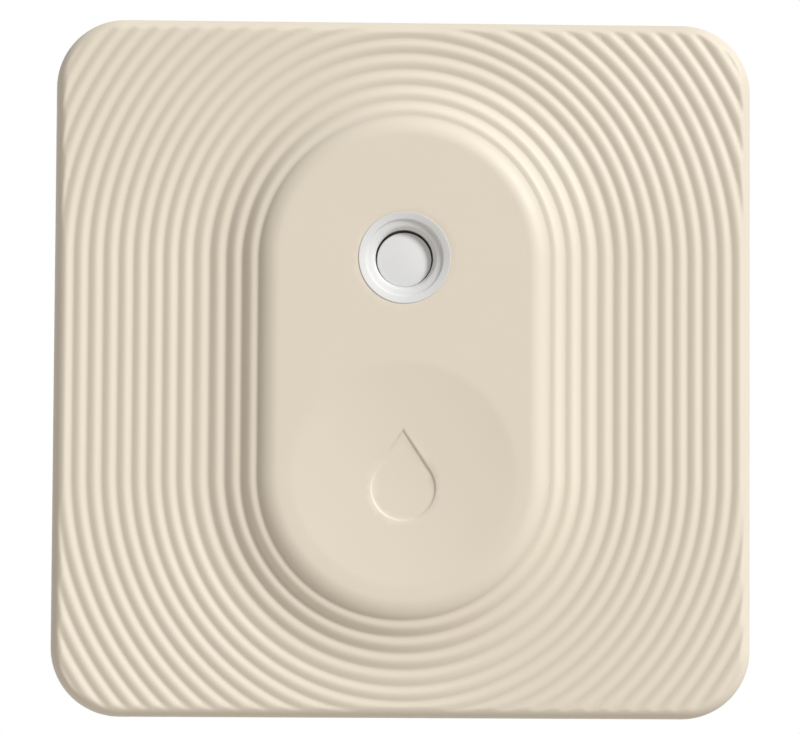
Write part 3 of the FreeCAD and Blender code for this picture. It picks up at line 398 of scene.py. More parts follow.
# %% [markdown]
# ## Filling between outlines
#
# Two areas have no neat grid: the pill's top, and the strip between the rays' ends and the rim.
# Blender's fill tools could close them, but add no points inside, so the dish would lose its bowl.
# A constrained triangulation joins all points given to it and keeps the outlines as edges. Then the
# faces inside a hole are dropped.

# %% Triangles between loops
TRIANGLES_INSIDE = 1
SAME_POINT = 1e-7


def inside_loop(points, loop):
    """True for each point that lies inside a closed loop."""
    within = np.zeros(len(points), bool)
    for (x0, y0), (x1, y1) in zip(loop, np.roll(loop, -1, axis=0)):
        if y0 == y1:
            continue
        spans = (points[:, 1] > min(y0, y1)) & (points[:, 1] <= max(y0, y1))
        cross = x0 + (points[:, 1] - y0) * (x1 - x0) / (y1 - y0)
        within ^= spans & (points[:, 0] < cross)
    return within


def fill(loops, free, cut):
    """Triangles between loops and free points in plan, without those inside the loop cut."""
    corners = [Vector(p) for loop in loops for p in loop] + [Vector(p) for p in free]
    edges, start = [], 0
    for loop in loops:
        count = len(loop)
        edges += [(start + i, start + (i + 1) % count) for i in range(count)]
        start += count
    filled, _, faces, origin, _, _ = delaunay_2d_cdt(corners, edges, [], TRIANGLES_INSIDE, SAME_POINT)
    source = [min(o) for o in origin]
    centres = [sum((filled[i] for i in face), Vector((0, 0))) / len(face) for face in faces]
    cut_away = inside_loop(np.array(centres), np.array([tuple(p) for p in loops[cut]]))
    return [[source[i] for i in face] for face, gone in zip(faces, cut_away) if not gone]


print("the middle is inside the rim:", bool(inside_loop(np.zeros((1, 2)), rim)[0]))


# %% The rays' ragged ends
def last_ring(i):
    """Last ring that the cell between a ray and the following one reaches."""
    return min(reach[i], reach[(i + 1) % len(feet)])


def stair():
    """Ray and ring of each corner of the stepped outline where the cells end."""
    corners = []
    for i in range(len(feet)):
        before, after = last_ring(i - 1), last_ring(i)
        step = 1 if after > before else -1
        corners += [(i, k) for k in range(before, after, step)] + [(i, after)]
    return corners


stair_corners = stair()
print("corners where the rays end:", len(stair_corners))

# %% [markdown]
# ## The pill's top
#
# The top is flat apart from the dish and the drop, and has a round hole for the light ring.
# Subdividing one big face would spend points on the flat parts and blur the outlines. Here the
# outlines are loops, the dish's edge gets rings of its own, and the rest is sprinkled with points
# that keep clear of them.

# %% Loops on the pill's top
RING_Y = 5.75
RING_HOLE_RADIUS = 2.438
HOLE_POINTS = 96
HOLE_ROUND = 0.01
HOLE_ROUND_ANGLES = np.radians([90, 60, 30, 0])


def circle(radius, centre_y, count):
    """Plan points of a circle centred on the Y axis."""
    turns = np.linspace(0, 2 * math.pi, count, endpoint=False)
    return np.column_stack([radius * np.cos(turns), centre_y + radius * np.sin(turns)])


def top_loops():
    """Outlines on the pill's top with their heights, the ring's hole last."""
    loops = [lift(spots[:, 0], dish_height)]
    for shrink, share in WALL_STEPS:
        loop = lift(np.array(drop_outline(shrink)), dish_height)
        loop[:, 2] -= DROP_DEPTH * share
        loops.append(loop)
    for angle in HOLE_ROUND_ANGLES:
        radius = RING_HOLE_RADIUS + HOLE_ROUND * (1 - math.cos(angle))
        loop = lift(circle(radius, RING_Y, HOLE_POINTS), dish_height)
        loop[:, 2] -= HOLE_ROUND * (1 - math.sin(angle))
        loops.append(loop)
    return loops


loops_on_top = top_loops()
print("points of each loop:", [len(loop) for loop in loops_on_top])

# %% Free points on the pill's top
TOP_SPACING = 0.34
ROW_SHARE = 0.87
PATCH_MARGIN = 0.15
HOLE_MARGIN = 0.2
OUTSIDE_DROP_MARGIN = 0.1
INSIDE_DROP_MARGIN = 0.2
DISH_MARGIN = 0.1
DISH_POINTS = 144
DISH_RING_STEP = 0.12
DISH_RINGS = DISH_RADIUS + DISH_RING_STEP * np.arange(-2, 3)


def sprinkle():
    """Points in a triangular pattern over the pill's top."""
    row_end = PATCH_OUT + PILL_HALF_LENGTH
    rows = np.arange(-row_end, row_end, TOP_SPACING * ROW_SHARE)
    columns = np.arange(-PATCH_OUT, PATCH_OUT, TOP_SPACING)
    x = np.concatenate([columns + (i % 2) * TOP_SPACING / 2 for i in range(len(rows))])
    return x, np.repeat(rows, len(columns))


def top_free():
    """Free points: those clear of every loop, and the rings at the dish's edge."""
    x, y = sprinkle()
    apart = from_drop(x, y)
    from_dish_edge = np.abs(np.hypot(x, y + PILL_HALF_LENGTH) - DISH_RADIUS)
    free = out_from_pill(x, y) < PATCH_OUT - PATCH_MARGIN
    free &= np.hypot(x, y - RING_Y) > RING_HOLE_RADIUS + HOLE_MARGIN
    free &= (apart > OUTSIDE_DROP_MARGIN) | (apart < -INSIDE_DROP_MARGIN)
    free &= from_dish_edge > DISH_RINGS[-1] - DISH_RADIUS + DISH_MARGIN
    x, y, apart = x[free], y[free], apart[free]
    spread = np.column_stack([x, y, dish_height(x, y) - DROP_DEPTH * (apart < 0)])
    around = [circle(radius, -PILL_HALF_LENGTH, DISH_POINTS) for radius in DISH_RINGS]
    return np.concatenate([spread, lift(np.concatenate(around), dish_height)])


free_on_top = top_free()
print("free points:", len(free_on_top))

# %% [markdown]
# ## The parts of the skin
#
# The skin is three patches: the ripples between the rays, the edge with its strip of filling, and
# the pill's top with the wall of the ring's hole. Separate objects could be merged by distance, but
# that can pull fine ridges together, so the patches share their border points from the start.

# %% Ripples and edge
def vertices(made, points):
    """New vertices at points given in millimetres."""
    return [made.verts.new(Vector(p) * MM) for p in points]


def band(made, upper, lower):
    """Faces between two closed rows of vertices."""
    for i in range(len(upper)):
        j = (i + 1) % len(upper)
        made.faces.new((upper[i], lower[i], lower[j], upper[j]))


def add_ripples(made):
    """Cells between the rays. Gives back their vertices by ray and ring."""
    heights = front_height(spots[:, :, 0], spots[:, :, 1])
    skin = {}
    for i in range(len(feet)):
        for k in range(reach[i] + 1):
            skin[i, k] = made.verts.new(Vector((*spots[i, k], heights[i, k])) * MM)
    for i in range(len(feet)):
        j = (i + 1) % len(feet)
        for k in range(last_ring(i)):
            made.faces.new((skin[i, k], skin[i, k + 1], skin[j, k + 1], skin[j, k]))
    return skin


def add_edge(made, skin):
    """The rounded edge, and the strip that joins it to the rays' ends."""
    rows = [vertices(made, row) for row in edge_rows]
    for upper, lower in zip(rows, rows[1:]):
        band(made, upper, lower)
    strip = rows[0] + [skin[corner] for corner in stair_corners]
    outlines = [list(rim), [spots[corner] for corner in stair_corners]]
    for face in fill(outlines, [], 1):
        made.faces.new([strip[i] for i in face])


print("cells between the rays:", sum(last_ring(i) for i in range(len(feet))))

# %% The pill's top and the hole's wall
HOLE_FOOT = 9.72


def add_top(made, skin):
    """The pill's top with its dish and drop, and the wall of the ring's hole."""
    top = [skin[i, 0] for i in range(len(feet))]
    for points in (*loops_on_top[1:], free_on_top):
        top += vertices(made, points)
    outlines = [loop[:, :2] for loop in loops_on_top]
    for face in fill(outlines, free_on_top[:, :2], len(outlines) - 1):
        made.faces.new([top[i] for i in face])
    first = sum(len(loop) for loop in outlines[:-1])
    edge = top[first : first + HOLE_POINTS]
    foot = [made.verts.new((v.co.x, v.co.y, HOLE_FOOT * MM)) for v in edge]
    band(made, edge, foot)


print("the hole's wall is", round(PLATEAU_LEVEL - HOLE_FOOT, 2), "mm tall")

# %% [markdown]
# ## Joining the skin to the shell
#
# Behind its face the shell has a lip, bosses, pins and snap tabs. They could be modelled again, with
# every chance of a slip. The solid has them already, so its inner faces are kept, and the fine skin
# takes the place of its outer faces. Only edges past 40 degrees stay sharp, such as the parting line.

# %% Telling outer faces from inner ones
HOLE_WALL_REACH = 0.06
PARTING_REACH = 0.01
WALL_REACH = 0.25
SKIN_REACH = 0.35


def is_outer(centre):
    """True for a point on the solid's outside that the fine skin covers."""
    x, y, z = (np.array(value / MM) for value in centre)
    from_hole_wall = abs(math.hypot(x, y - RING_Y) - RING_HOLE_RADIUS)
    if from_hole_wall < HOLE_WALL_REACH and z > HOLE_FOOT:
        return True
    if z < PARTING_LEVEL + PARTING_REACH:
        return False
    return bool(inset(x, y) < WALL_REACH or z > front_height(x, y) - SKIN_REACH)


print("the pill's middle is outside:", is_outer(Vector((0, 0, PLATEAU_LEVEL)) * MM))

# %% The front shell
SHARP_ANGLE = math.radians(40)


def smooth(made, faces):
    """Turns faces outwards and shades them smoothly."""
    bmesh.ops.recalc_face_normals(made, faces=faces)
    for face in faces:
        face.smooth = True


def finished_piece(made, name):
    """An object from a finished mesh, with sharp edges where it turns sharply."""
    mesh = bpy.data.meshes.new(name)
    made.to_mesh(mesh)
    made.free()
    mesh.set_sharp_from_angle(angle=SHARP_ANGLE)
    piece = bpy.data.objects.new(name, mesh)
    bpy.context.scene.collection.objects.link(piece)
    return piece


def make_shell():
    """One piece from the fine skin and the solid's inside."""
    made = bmesh.new()
    made.from_mesh(nodes["front_shell"].data)
    outer = [f for f in made.faces if is_outer(f.calc_center_median())]
    bmesh.ops.delete(made, geom=outer, context="FACES")
    inner_count = len(made.faces)
    skin = add_ripples(made)
    add_edge(made, skin)
    add_top(made, skin)
    made.faces.ensure_lookup_table()
    smooth(made, made.faces[inner_count:])
    return finished_piece(made, "rippled_front_shell")


front_shell = make_shell()
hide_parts("front_shell")
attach(front_shell, "front")
print("faces of the shell:", len(front_shell.data.polygons))

# %% The painted shade stored on the shell's mesh
places = np.array([vertex.co for vertex in front_shell.data.vertices]) / MM
shares = painted_shade_share(*places.T)
# The share of painted shade and painted highlight is stored with the mesh as an attribute.
hollow = front_shell.data.attributes.new("hollow", "FLOAT", "POINT")
hollow.data.foreach_set("value", shares)
print("points with a deeper tone:", int((shares > 0).sum()), "of", len(shares))

# %% [markdown]
# ## Turned pieces
#
# The light ring, the button and the switch's dome are round about one axis. A screw modifier could
# turn a profile about it, but leaves a heap of points on the axis. A short lathe function closes a
# form with a single point there. Small curves ease a profile's corners, because no moulded piece
# has a razor edge.

# %% Easing a profile
EASE_STEPS = 6


def rounded_corner(corner, before, after, radius):
    """Points that replace a profile corner by a small round."""
    corner, before, after = (np.array(p, float) for p in (corner, before, after))
    into = (before - corner) / np.linalg.norm(before - corner)
    away = (after - corner) / np.linalg.norm(after - corner)
    start, end = corner + into * radius, corner + away * radius
    points = []
    for i in range(EASE_STEPS + 1):
        t = i / EASE_STEPS
        points.append(tuple((1 - t) ** 2 * start + 2 * t * (1 - t) * corner + t**2 * end))
    return points


def eased(corners):
    """A closed profile from corners that each give a radius, a height and an easing."""
    plain = [(radius, height) for radius, height, _ in corners]
    points = []
    for i, (radius, height, easing) in enumerate(corners):
        if easing:
            after = plain[(i + 1) % len(plain)]
            points += rounded_corner(plain[i], plain[i - 1], after, easing)
        else:
            points.append((radius, height))
    return points


print("points for one eased corner:", len(rounded_corner((0, 0), (1, 0), (0, 1), 0.1)))

# %% The lathe
TURN_COUNT = 128


def turned_ring(made, radius, height, centre_y):
    """Vertices of one circle of a turned piece, or a single one on its axis."""
    if radius == 0:
        return [made.verts.new((0, centre_y * MM, height * MM))]
    ring = []
    for i in range(TURN_COUNT):
        angle = 2 * math.pi * i / TURN_COUNT
        x, y = radius * math.cos(angle), centre_y + radius * math.sin(angle)
        ring.append(made.verts.new((x * MM, y * MM, height * MM)))
    return ring


def turned(name, profile, centre_y):
    """A closed lathe form from (radius, height) points in millimetres."""
    made = bmesh.new()
    circles = [turned_ring(made, radius, height, centre_y) for radius, height in profile]
    for near, far in zip(circles, circles[1:] + circles[:1]):
        for i in range(TURN_COUNT):
            j = (i + 1) % TURN_COUNT
            corners = (near[i % len(near)], near[j % len(near)], far[j % len(far)], far[i % len(far)])
            unique = list(dict.fromkeys(corners))
            if len(unique) > 2:
                made.faces.new(unique)
    smooth(made, made.faces)
    return finished_piece(made, name)


print("points on each circle:", TURN_COUNT)

# %% [markdown]
# ## The light ring
#
# A ring of milky plastic frames the button and brings the lamps' light to the front through two
# legs. Its rim falls gently inwards to a fine step, then rolls down to the bore like a bowl. A torus
# would have no step, so the ring is turned from a profile drawn corner by corner, and only the roll
# is worked out, as a quarter of an oval.

# %% Profile of the ring
RING_PROUD = 0.05
RING_TOP = PLATEAU_LEVEL + RING_PROUD
RING_BOTTOM = 9.1
PILL_CEILING = 9.7
RING_FLANGE_RADIUS = 3.75
RING_RADIUS = 2.435
RING_STEP_RADIUS = 2.05
RING_STEP_SLOPE = 0.05
RING_DISH_RADIUS = 1.81
RING_BORE_RADIUS = 1.52
LIP_LEVEL = RING_TOP - 0.11
LEDGE_LEVEL = RING_TOP - 0.23
MOUTH_LEVEL = RING_TOP - 0.31
RING_ROLL = 0.48
ROLL_ANGLES = np.radians([15, 30, 42, 54, 66, 78, 90])

ring_corners = [
    (RING_BORE_RADIUS, RING_BOTTOM, 0.05),
    (RING_FLANGE_RADIUS, RING_BOTTOM, 0.08),
    (RING_FLANGE_RADIUS, PILL_CEILING, 0.05),
    (RING_RADIUS, PILL_CEILING, 0.0),
    (RING_RADIUS, RING_TOP, 0.045),
    (RING_STEP_RADIUS, LIP_LEVEL, 0.02),
    (RING_STEP_RADIUS - RING_STEP_SLOPE, LEDGE_LEVEL, 0.03),
    (RING_DISH_RADIUS, MOUTH_LEVEL, 0.0),
]
for angle in ROLL_ANGLES:
    across = (RING_DISH_RADIUS - RING_BORE_RADIUS) * (1 - math.sin(angle))
    down = RING_ROLL * (1 - math.cos(angle))
    ring_corners.append((RING_BORE_RADIUS + across, MOUTH_LEVEL - down, 0.0))
print("the ring is", round(RING_TOP - RING_BOTTOM, 2), "mm tall")

# %% The ring and its legs
LEG_END = 7.1
LEG_INNER = 2.95
LEG_OUTER = 3.69
LEG_WIDTH = 1.2


def add_box(piece, low, high):
    """Adds a box, given in millimetres, to a piece's mesh."""
    low, high = Vector(low) * MM, Vector(high) * MM
    place = Matrix.Translation((low + high) / 2) @ Matrix.Diagonal((high - low).to_4d())
    made = bmesh.new()
    made.from_mesh(piece.data)
    bmesh.ops.create_cube(made, size=1.0, matrix=place)
    made.to_mesh(piece.data)
    made.free()


light_ring = turned("light_ring_turned", eased(ring_corners), RING_Y)
for side in (-1, 1):
    near, far = sorted((side * LEG_INNER, side * LEG_OUTER))
    low = (near, RING_Y - LEG_WIDTH / 2, LEG_END)
    high = (far, RING_Y + LEG_WIDTH / 2, RING_BOTTOM)
    add_box(light_ring, low, high)
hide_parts("light_ring")
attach(light_ring, "front")
print("faces of the light ring:", len(light_ring.data.polygons))

# %% [markdown]
# ## The button
#
# The button is a round cap with a flange that keeps it in and a stem that reaches the switch.
# A bevelled cylinder would have a flat face. The real face is very slightly domed and catches a
# soft fall of light, so the profile ends in a parabola. The cap also hangs a little low in its
# ring, by its own play, so the gap above it is wider.

# %% Profile of the button
BUTTON_RADIUS = 1.445
BUTTON_SAG = 0.07
BUTTON_FLANGE_RADIUS = 2.2
BUTTON_FLANGE_BOTTOM = 8.6
BUTTON_FLANGE_TOP = 9.0
BUTTON_FACE = 10.33
BUTTON_CROWN = 0.12
BUTTON_EDGE = BUTTON_FACE - BUTTON_CROWN
STEM_RADIUS = 0.9
STEM_END = 8.4
CROWN_STEPS = 8

button_corners = [
    (0.0, STEM_END, 0.0),
    (STEM_RADIUS, STEM_END, 0.05),
    (STEM_RADIUS, BUTTON_FLANGE_BOTTOM, 0.05),
    (BUTTON_FLANGE_RADIUS, BUTTON_FLANGE_BOTTOM, 0.08),
    (BUTTON_FLANGE_RADIUS, BUTTON_FLANGE_TOP, 0.08),
    (BUTTON_RADIUS, BUTTON_FLANGE_TOP, 0.0),
    (BUTTON_RADIUS, BUTTON_EDGE, 0.06),
]
for i in range(CROWN_STEPS - 1, -1, -1):
    height = BUTTON_FACE - BUTTON_CROWN * (i / CROWN_STEPS) ** 2
    button_corners.append((BUTTON_RADIUS * i / CROWN_STEPS, height, 0.0))
button_cap = turned("button_cap_turned", eased(button_corners), RING_Y - BUTTON_SAG)
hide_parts("button_cap")
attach(button_cap, "button")
print("gap above the button:", round(RING_BORE_RADIUS - BUTTON_RADIUS + BUTTON_SAG, 3), "mm")

# %% [markdown]
# ## The sprung dome under the button
#
# Inside the push switch, a thin steel dome clicks flat under the plunger and springs back.
# A rigid dome would cut through the plunger when the button is pressed. A shape key could bend it,
# but doesn't follow the part's joints. Here the dome is turned as a thin sheet within the solid's
# box, and is given a mesh of its own.

# %% Sheet of the dome
DOME_SHEET = 0.08
DOME_STEPS = 12

dome_low, dome_high = (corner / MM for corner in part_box("switch_dome"))
dome_rise = dome_high.z - dome_low.z
dome_over = [
    (dome_high.x * i / DOME_STEPS, dome_high.z - dome_rise * (i / DOME_STEPS) ** 2)
    for i in range(DOME_STEPS + 1)
]
lowered = [(radius, height - DOME_SHEET) for radius, height in dome_over]
dome_under = [(radius, height) for radius, height in lowered if height > dome_low.z]
dome_foot = [(dome_high.x - DOME_SHEET, dome_low.z)]
print("the dome is", round(dome_rise, 3), "mm high")

sprung_dome = turned("sprung_dome", dome_under + dome_foot + dome_over[::-1], RING_Y)
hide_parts("switch_dome")
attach(sprung_dome, "front")
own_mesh(sprung_dome)

# %% [markdown]
# ## Softer edges on the carried-over solids
#
# Real moulded and stamped pieces have a fine round along each edge, which catches the light.
# A bevel node would only fake it in the render. Here modifiers put it in the shape and leave the
# solids' own meshes alone: a weld joins each solid's faces, a bevel rounds the sharp edges, and
# weighted normals keep flat faces even.

# %% Pieces by the width of their edge round, in millimetres
EDGE_ROUNDS = {
    0.12: ["rear_housing", "cell_can"],
    0.1: ["cell_holder"],
    0.08: ["cell_cap", "switch_plunger", "reserve_capacitor"],
    0.06: ["board_screws", "indicator_lamps"],
    0.05: ["circuit_board", "clock_crystal", "timing_crystal", "switch_body", "chip_capacitors"],
    0.04: ["controller_chip", "climate_sensor", "switch_cover", "chip_resistors"],
    0.03: ["positive_contact", "negative_contact"],
}
print("pieces to soften:", sum(len(names) for names in EDGE_ROUNDS.values()))

# %% Weld, bevel and normals
WELD_DISTANCE = 1e-6
BEVEL_STEPS = 3
BEVEL_FROM_ANGLE = math.radians(35)
FACE_WEIGHT = 90


def soften(piece, width):
    """Rounds the sharp edges of a solid by a width in metres."""
    weld = piece.modifiers.new("weld", "WELD")
    weld.merge_threshold = WELD_DISTANCE
    bevel = piece.modifiers.new("soft_edges", "BEVEL")
    bevel.width = width
    bevel.segments = BEVEL_STEPS
    bevel.limit_method = "ANGLE"
    bevel.angle_limit = BEVEL_FROM_ANGLE
    normals = piece.modifiers.new("even_shading", "WEIGHTED_NORMAL")
    normals.keep_sharp = False
    normals.weight = FACE_WEIGHT


for width, names in EDGE_ROUNDS.items():
    for name in names:
        soften(nodes[name], width * MM)
print("widest round:", max(EDGE_ROUNDS), "mm")

# %% [markdown]
# ## What a finish is made of
#
# No real surface is one flat colour: its tone wanders a little, its sheen is uneven, and it has a
# fine grain. Pictures wrapped round the pieces could show that, but they need unwrapped surfaces
# and blur from near. Noise in the part's own coordinates does neither. A few small helpers make
# noise and lead it to a number, a colour or the relief.

# %% Shader and noise
NOISE_SPAN = (0.3, 0.7)


def start_material(name):
    """A new material with its node tree and its shader."""
    material = bpy.data.materials.new(name)
    material.use_nodes = True
    tree = material.node_tree
    return material, tree, tree.nodes["Principled BSDF"]


def noise(tree, scale, detail, stretch=(1, 1, 1)):
    """Noise in the part's own coordinates."""
    place = tree.nodes.new("ShaderNodeTexCoord")
    mapping = tree.nodes.new("ShaderNodeMapping")
    mapping.inputs["Scale"].default_value = stretch
    texture = tree.nodes.new("ShaderNodeTexNoise")
    texture.inputs["Scale"].default_value = scale
    texture.inputs["Detail"].default_value = detail
    tree.links.new(place.outputs["Object"], mapping.inputs["Vector"])
    tree.links.new(mapping.outputs["Vector"], texture.inputs["Vector"])
    return texture.outputs["Fac"]


print("most of a noise lies between", *NOISE_SPAN)


# %% From noise to a number, a colour or a relief
def remap(tree, value, span, new_span, clamp=True):
    """A value taken from one span of numbers to another."""
    node = tree.nodes.new("ShaderNodeMapRange")
    node.clamp = clamp
    for socket, number in zip(("From Min", "From Max", "To Min", "To Max"), (*span, *new_span)):
        node.inputs[socket].default_value = number
    tree.links.new(value, node.inputs["Value"])
    return node.outputs["Result"]


def vary(tree, value, middle, below, above, target):
    """Feeds a socket a number that a noise moves a little below and above its middle."""
    result = remap(tree, value, NOISE_SPAN, (middle - below, middle + above))
    tree.links.new(result, target)


def shade(colour, factor):
    """A colour made darker or lighter, no lighter than white."""
    return tuple(min(1.0, channel * factor) for channel in colour)


def mottle(tree, value, colour, below, above, target):
    """Feeds a socket a colour that a noise makes a little darker and lighter."""
    ramp = tree.nodes.new("ShaderNodeValToRGB")
    factors = (1 - below, 1 + above)
    for stop, position, factor in zip(ramp.color_ramp.elements, NOISE_SPAN, factors):
        stop.position = position
        stop.color = (*shade(colour, factor), 1)
    tree.links.new(value, ramp.inputs["Fac"])
    tree.links.new(ramp.outputs["Color"], target)


def bump(tree, shader, value, strength, distance):
    """Lets a noise raise and lower the surface by a distance in metres."""
    relief = tree.nodes.new("ShaderNodeBump")
    relief.inputs["Strength"].default_value = strength
    relief.inputs["Distance"].default_value = distance
    tree.links.new(value, relief.inputs["Height"])
    tree.links.new(relief.outputs["Normal"], shader.inputs["Normal"])


print("a grey of 0.5, a tenth darker:", shade((0.5, 0.5, 0.5), 0.9))

# %% [markdown]
# ## Moulded plastic
#
# Moulded plastic shows a hint of flow in its colour, a slightly uneven sheen, and a very fine satin
# grain from the etched mould. A shader with one roughness would look like wet paint. Three noises,
# from coarse to fine, give the flow, the sheen and the grain. Milky and clear plastics let some of
# the light in, each by its own socket.

# %% Plastic
FLOW_SCALE = 180
SHEEN_SCALE = 900
GRAIN_SCALE = 9000
GRAIN_HEIGHT = 0.00002
PLASTIC_IOR = 1.46
GREY_WHITE = (0.71, 0.71, 0.71)


def plastic(name, colour, rough=0.45, grain=0.15, spread=0.02):
    """Moulded plastic with a hint of flow, an uneven sheen and a fine grain."""
    material, tree, shader = start_material(name)
    flow = noise(tree, FLOW_SCALE, detail=3)
    mottle(tree, flow, colour, below=spread, above=spread, target=shader.inputs["Base Color"])
    sheen = noise(tree, SHEEN_SCALE, detail=4)
    vary(tree, sheen, rough, below=0.04, above=0.05, target=shader.inputs["Roughness"])
    bump(tree, shader, noise(tree, GRAIN_SCALE, detail=3), grain, GRAIN_HEIGHT)
    shader.inputs["IOR"].default_value = PLASTIC_IOR
    return material


finishes = {
    "button_plastic": plastic("grey_white_button", GREY_WHITE, rough=0.5, grain=0.12, spread=0.01),
    "black_moulding": plastic("black_moulding", (0.02, 0.02, 0.022), rough=0.5),
    "chip_moulding": plastic("chip_moulding", (0.03, 0.03, 0.032), rough=0.6, grain=0.3, spread=0.1),
    "plunger_plastic": plastic("plunger_plastic", (0.035, 0.035, 0.04)),
}
print("plain plastics:", len(finishes))

# %% Milky and clear plastic
LIGHT_SPREAD = (1.0, 0.9, 0.75)
LIGHT_DEPTH = 0.0004


def milky(material, weight):
    """Lets light spread a little under the surface."""
    shader = material.node_tree.nodes["Principled BSDF"]
    shader.inputs["Subsurface Weight"].default_value = weight
    shader.inputs["Subsurface Radius"].default_value = LIGHT_SPREAD
    shader.inputs["Subsurface Scale"].default_value = LIGHT_DEPTH
    return material


def clear(material, weight):
    """Lets light through."""
    shader = material.node_tree.nodes["Principled BSDF"]
    shader.inputs["Transmission Weight"].default_value = weight
    return material


milky_ring = plastic("milky_ring", (0.68, 0.68, 0.675), rough=0.6, grain=0.08, spread=0.01)
seal_nylon = plastic("seal_nylon", (0.6, 0.62, 0.56), rough=0.4)
lamp_resin = plastic("lamp_resin", (0.85, 0.82, 0.68), rough=0.12)
finishes["ring_plastic"] = milky(milky_ring, weight=0.15)
finishes["seal_nylon"] = milky(seal_nylon, weight=0.4)
finishes["lamp_resin"] = clear(lamp_resin, weight=0.5)
print("plastics so far:", len(finishes))

# %% [markdown]
# ## The cream of the shell
#
# The shell is the same moulded plastic in a warm cream, with shade painted into its valleys and a
# highlight painted on its crests. A painted picture could darken them, but would have to line up
# with the mesh. The attribute stored with the mesh does, so the finish scales its colour by it.

# %% Cream with painted shade in the valleys
CREAM = (0.70, 0.63, 0.515)
# Painted shade: a valley's cream is darkened by this share.
VALLEY_PAINTED_SHADE = 0.12


def scaled(tree, colour, factor):
    """A colour times a number, both of them outputs of nodes."""
    product = tree.nodes.new("ShaderNodeVectorMath")
    product.operation = "SCALE"
    tree.links.new(colour, product.inputs[0])
    tree.links.new(factor, product.inputs["Scale"])
    return product.outputs["Vector"]


def paint_shade_and_highlight(material, depth):
    """Paints shade into a material's colour in the hollows between the ripples, and highlight on the
    crests.
    """
    tree = material.node_tree
    base = tree.nodes["Principled BSDF"].inputs["Base Color"]
    painted_shade_attribute = tree.nodes.new("ShaderNodeAttribute")
    painted_shade_attribute.attribute_name = "hollow"
    # Painted shade and highlight: the colour is darkened in the valleys and lightened on the crests.
    factor = remap(tree, painted_shade_attribute.outputs["Fac"], (0, 1), (1, 1 - depth), clamp=False)
    tree.links.new(scaled(tree, base.links[0].from_socket, factor), base)
    return material


cream_shell = plastic("cream_shell", CREAM, rough=0.5, grain=0.12, spread=0.006)
finishes["shell_plastic"] = paint_shade_and_highlight(cream_shell, VALLEY_PAINTED_SHADE)
print("a valley has", 1 - VALLEY_PAINTED_SHADE, "of the cream's brightness")

# %% [markdown]
# ## Metals and ceramics
#
# The cell's can is nickel-plated steel, the springs are bare steel, and some contacts are gold.
# A plain mirror would be the easy choice, but rolled sheet has fine marks along one direction.
# A noise squeezed across that direction moves the roughness and a very low relief. Ceramic is
# duller and more mottled than plastic, so it is the plastic with other numbers.

# %% Metal and ceramic
TARNISH_SCALE = 300
MARK_SCALE = 2500
MARK_HEIGHT = 0.00001
MARK_STRENGTH = 0.15


def metal(name, colour, rough, drawn=(1, 1, 1)):
    """Plated or stamped metal with fine marks, squeezed by a factor in each direction."""
    material, tree, shader = start_material(name)
    marks = noise(tree, MARK_SCALE, detail=5, stretch=drawn)
    tarnish = noise(tree, TARNISH_SCALE, detail=4)
    mottle(tree, tarnish, colour, below=0.07, above=0.04, target=shader.inputs["Base Color"])
    vary(tree, marks, rough, below=0.06, above=0.1, target=shader.inputs["Roughness"])
    bump(tree, shader, marks, MARK_STRENGTH, MARK_HEIGHT)
    shader.inputs["Metallic"].default_value = 1.0
    return material


finishes["steel_can"] = metal("nickel_steel", (0.62, 0.61, 0.59), rough=0.26, drawn=(1, 8, 1))
finishes["spring_metal"] = metal("spring_metal", (0.66, 0.64, 0.6), rough=0.3, drawn=(6, 1, 1))
finishes["gold_plate"] = metal("gold_plate", (0.83, 0.62, 0.28), rough=0.3)
finishes["ceramic_tan"] = plastic(
    "ceramic_tan", (0.4, 0.27, 0.16), rough=0.55, grain=0.3, spread=0.12
)
finishes["ceramic_dark"] = plastic(
    "ceramic_dark", (0.025, 0.025, 0.03), rough=0.5, grain=0.3, spread=0.1
)
print("finishes so far:", len(finishes))

# %% [markdown]
# ## The circuit board
#
# A board is glass cloth in resin under green lacquer, and it looks lighter where copper lies below.
# Tracks could be drawn one by one, but at this size the eye reads areas, not lines. A fine brick
# pattern stands for the weave, and a coarse noise with a sharp step lays out the copper.

# %% Laminate
BOARD_GREEN = (0.012, 0.13, 0.05)
WEAVE_SCALE = 700
THREAD_GAP = 0.04
COPPER_SCALE = 150
COPPER_EDGE = (0.50, 0.505)
COPPER_LIFT = 1.45
LACQUER_SCALE = 1200
LACQUER_ROUGHNESS = 0.28
LACQUER_COAT = 0.4
CLOTH_SCALE = 5000
CLOTH_STRENGTH = 0.2


def laminate(name, colour):
    """Circuit board: lacquer over a faint glass weave, lighter where copper lies under it."""
    material, tree, shader = start_material(name)
    place = tree.nodes.new("ShaderNodeTexCoord")
    weave = tree.nodes.new("ShaderNodeTexBrick")
    weave.inputs["Scale"].default_value = WEAVE_SCALE
    weave.inputs["Mortar Size"].default_value = THREAD_GAP
    for socket, factor in (("Color1", 1.0), ("Color2", 0.95), ("Mortar", 1.2)):
        weave.inputs[socket].default_value = (*shade(colour, factor), 1)
    tree.links.new(place.outputs["Object"], weave.inputs["Vector"])
    copper = remap(tree, noise(tree, COPPER_SCALE, detail=0), COPPER_EDGE, (1, COPPER_LIFT))
    tree.links.new(scaled(tree, weave.outputs["Color"], copper), shader.inputs["Base Color"])
    lacquer = noise(tree, LACQUER_SCALE, detail=3)
    vary(tree, lacquer, LACQUER_ROUGHNESS, below=0.06, above=0.06, target=shader.inputs["Roughness"])
    bump(tree, shader, noise(tree, CLOTH_SCALE, detail=2), CLOTH_STRENGTH, MARK_HEIGHT)
    shader.inputs["Coat Weight"].default_value = LACQUER_COAT
    return material


finishes["board_laminate"] = laminate("green_laminate", BOARD_GREEN)
print("finishes:", len(finishes))

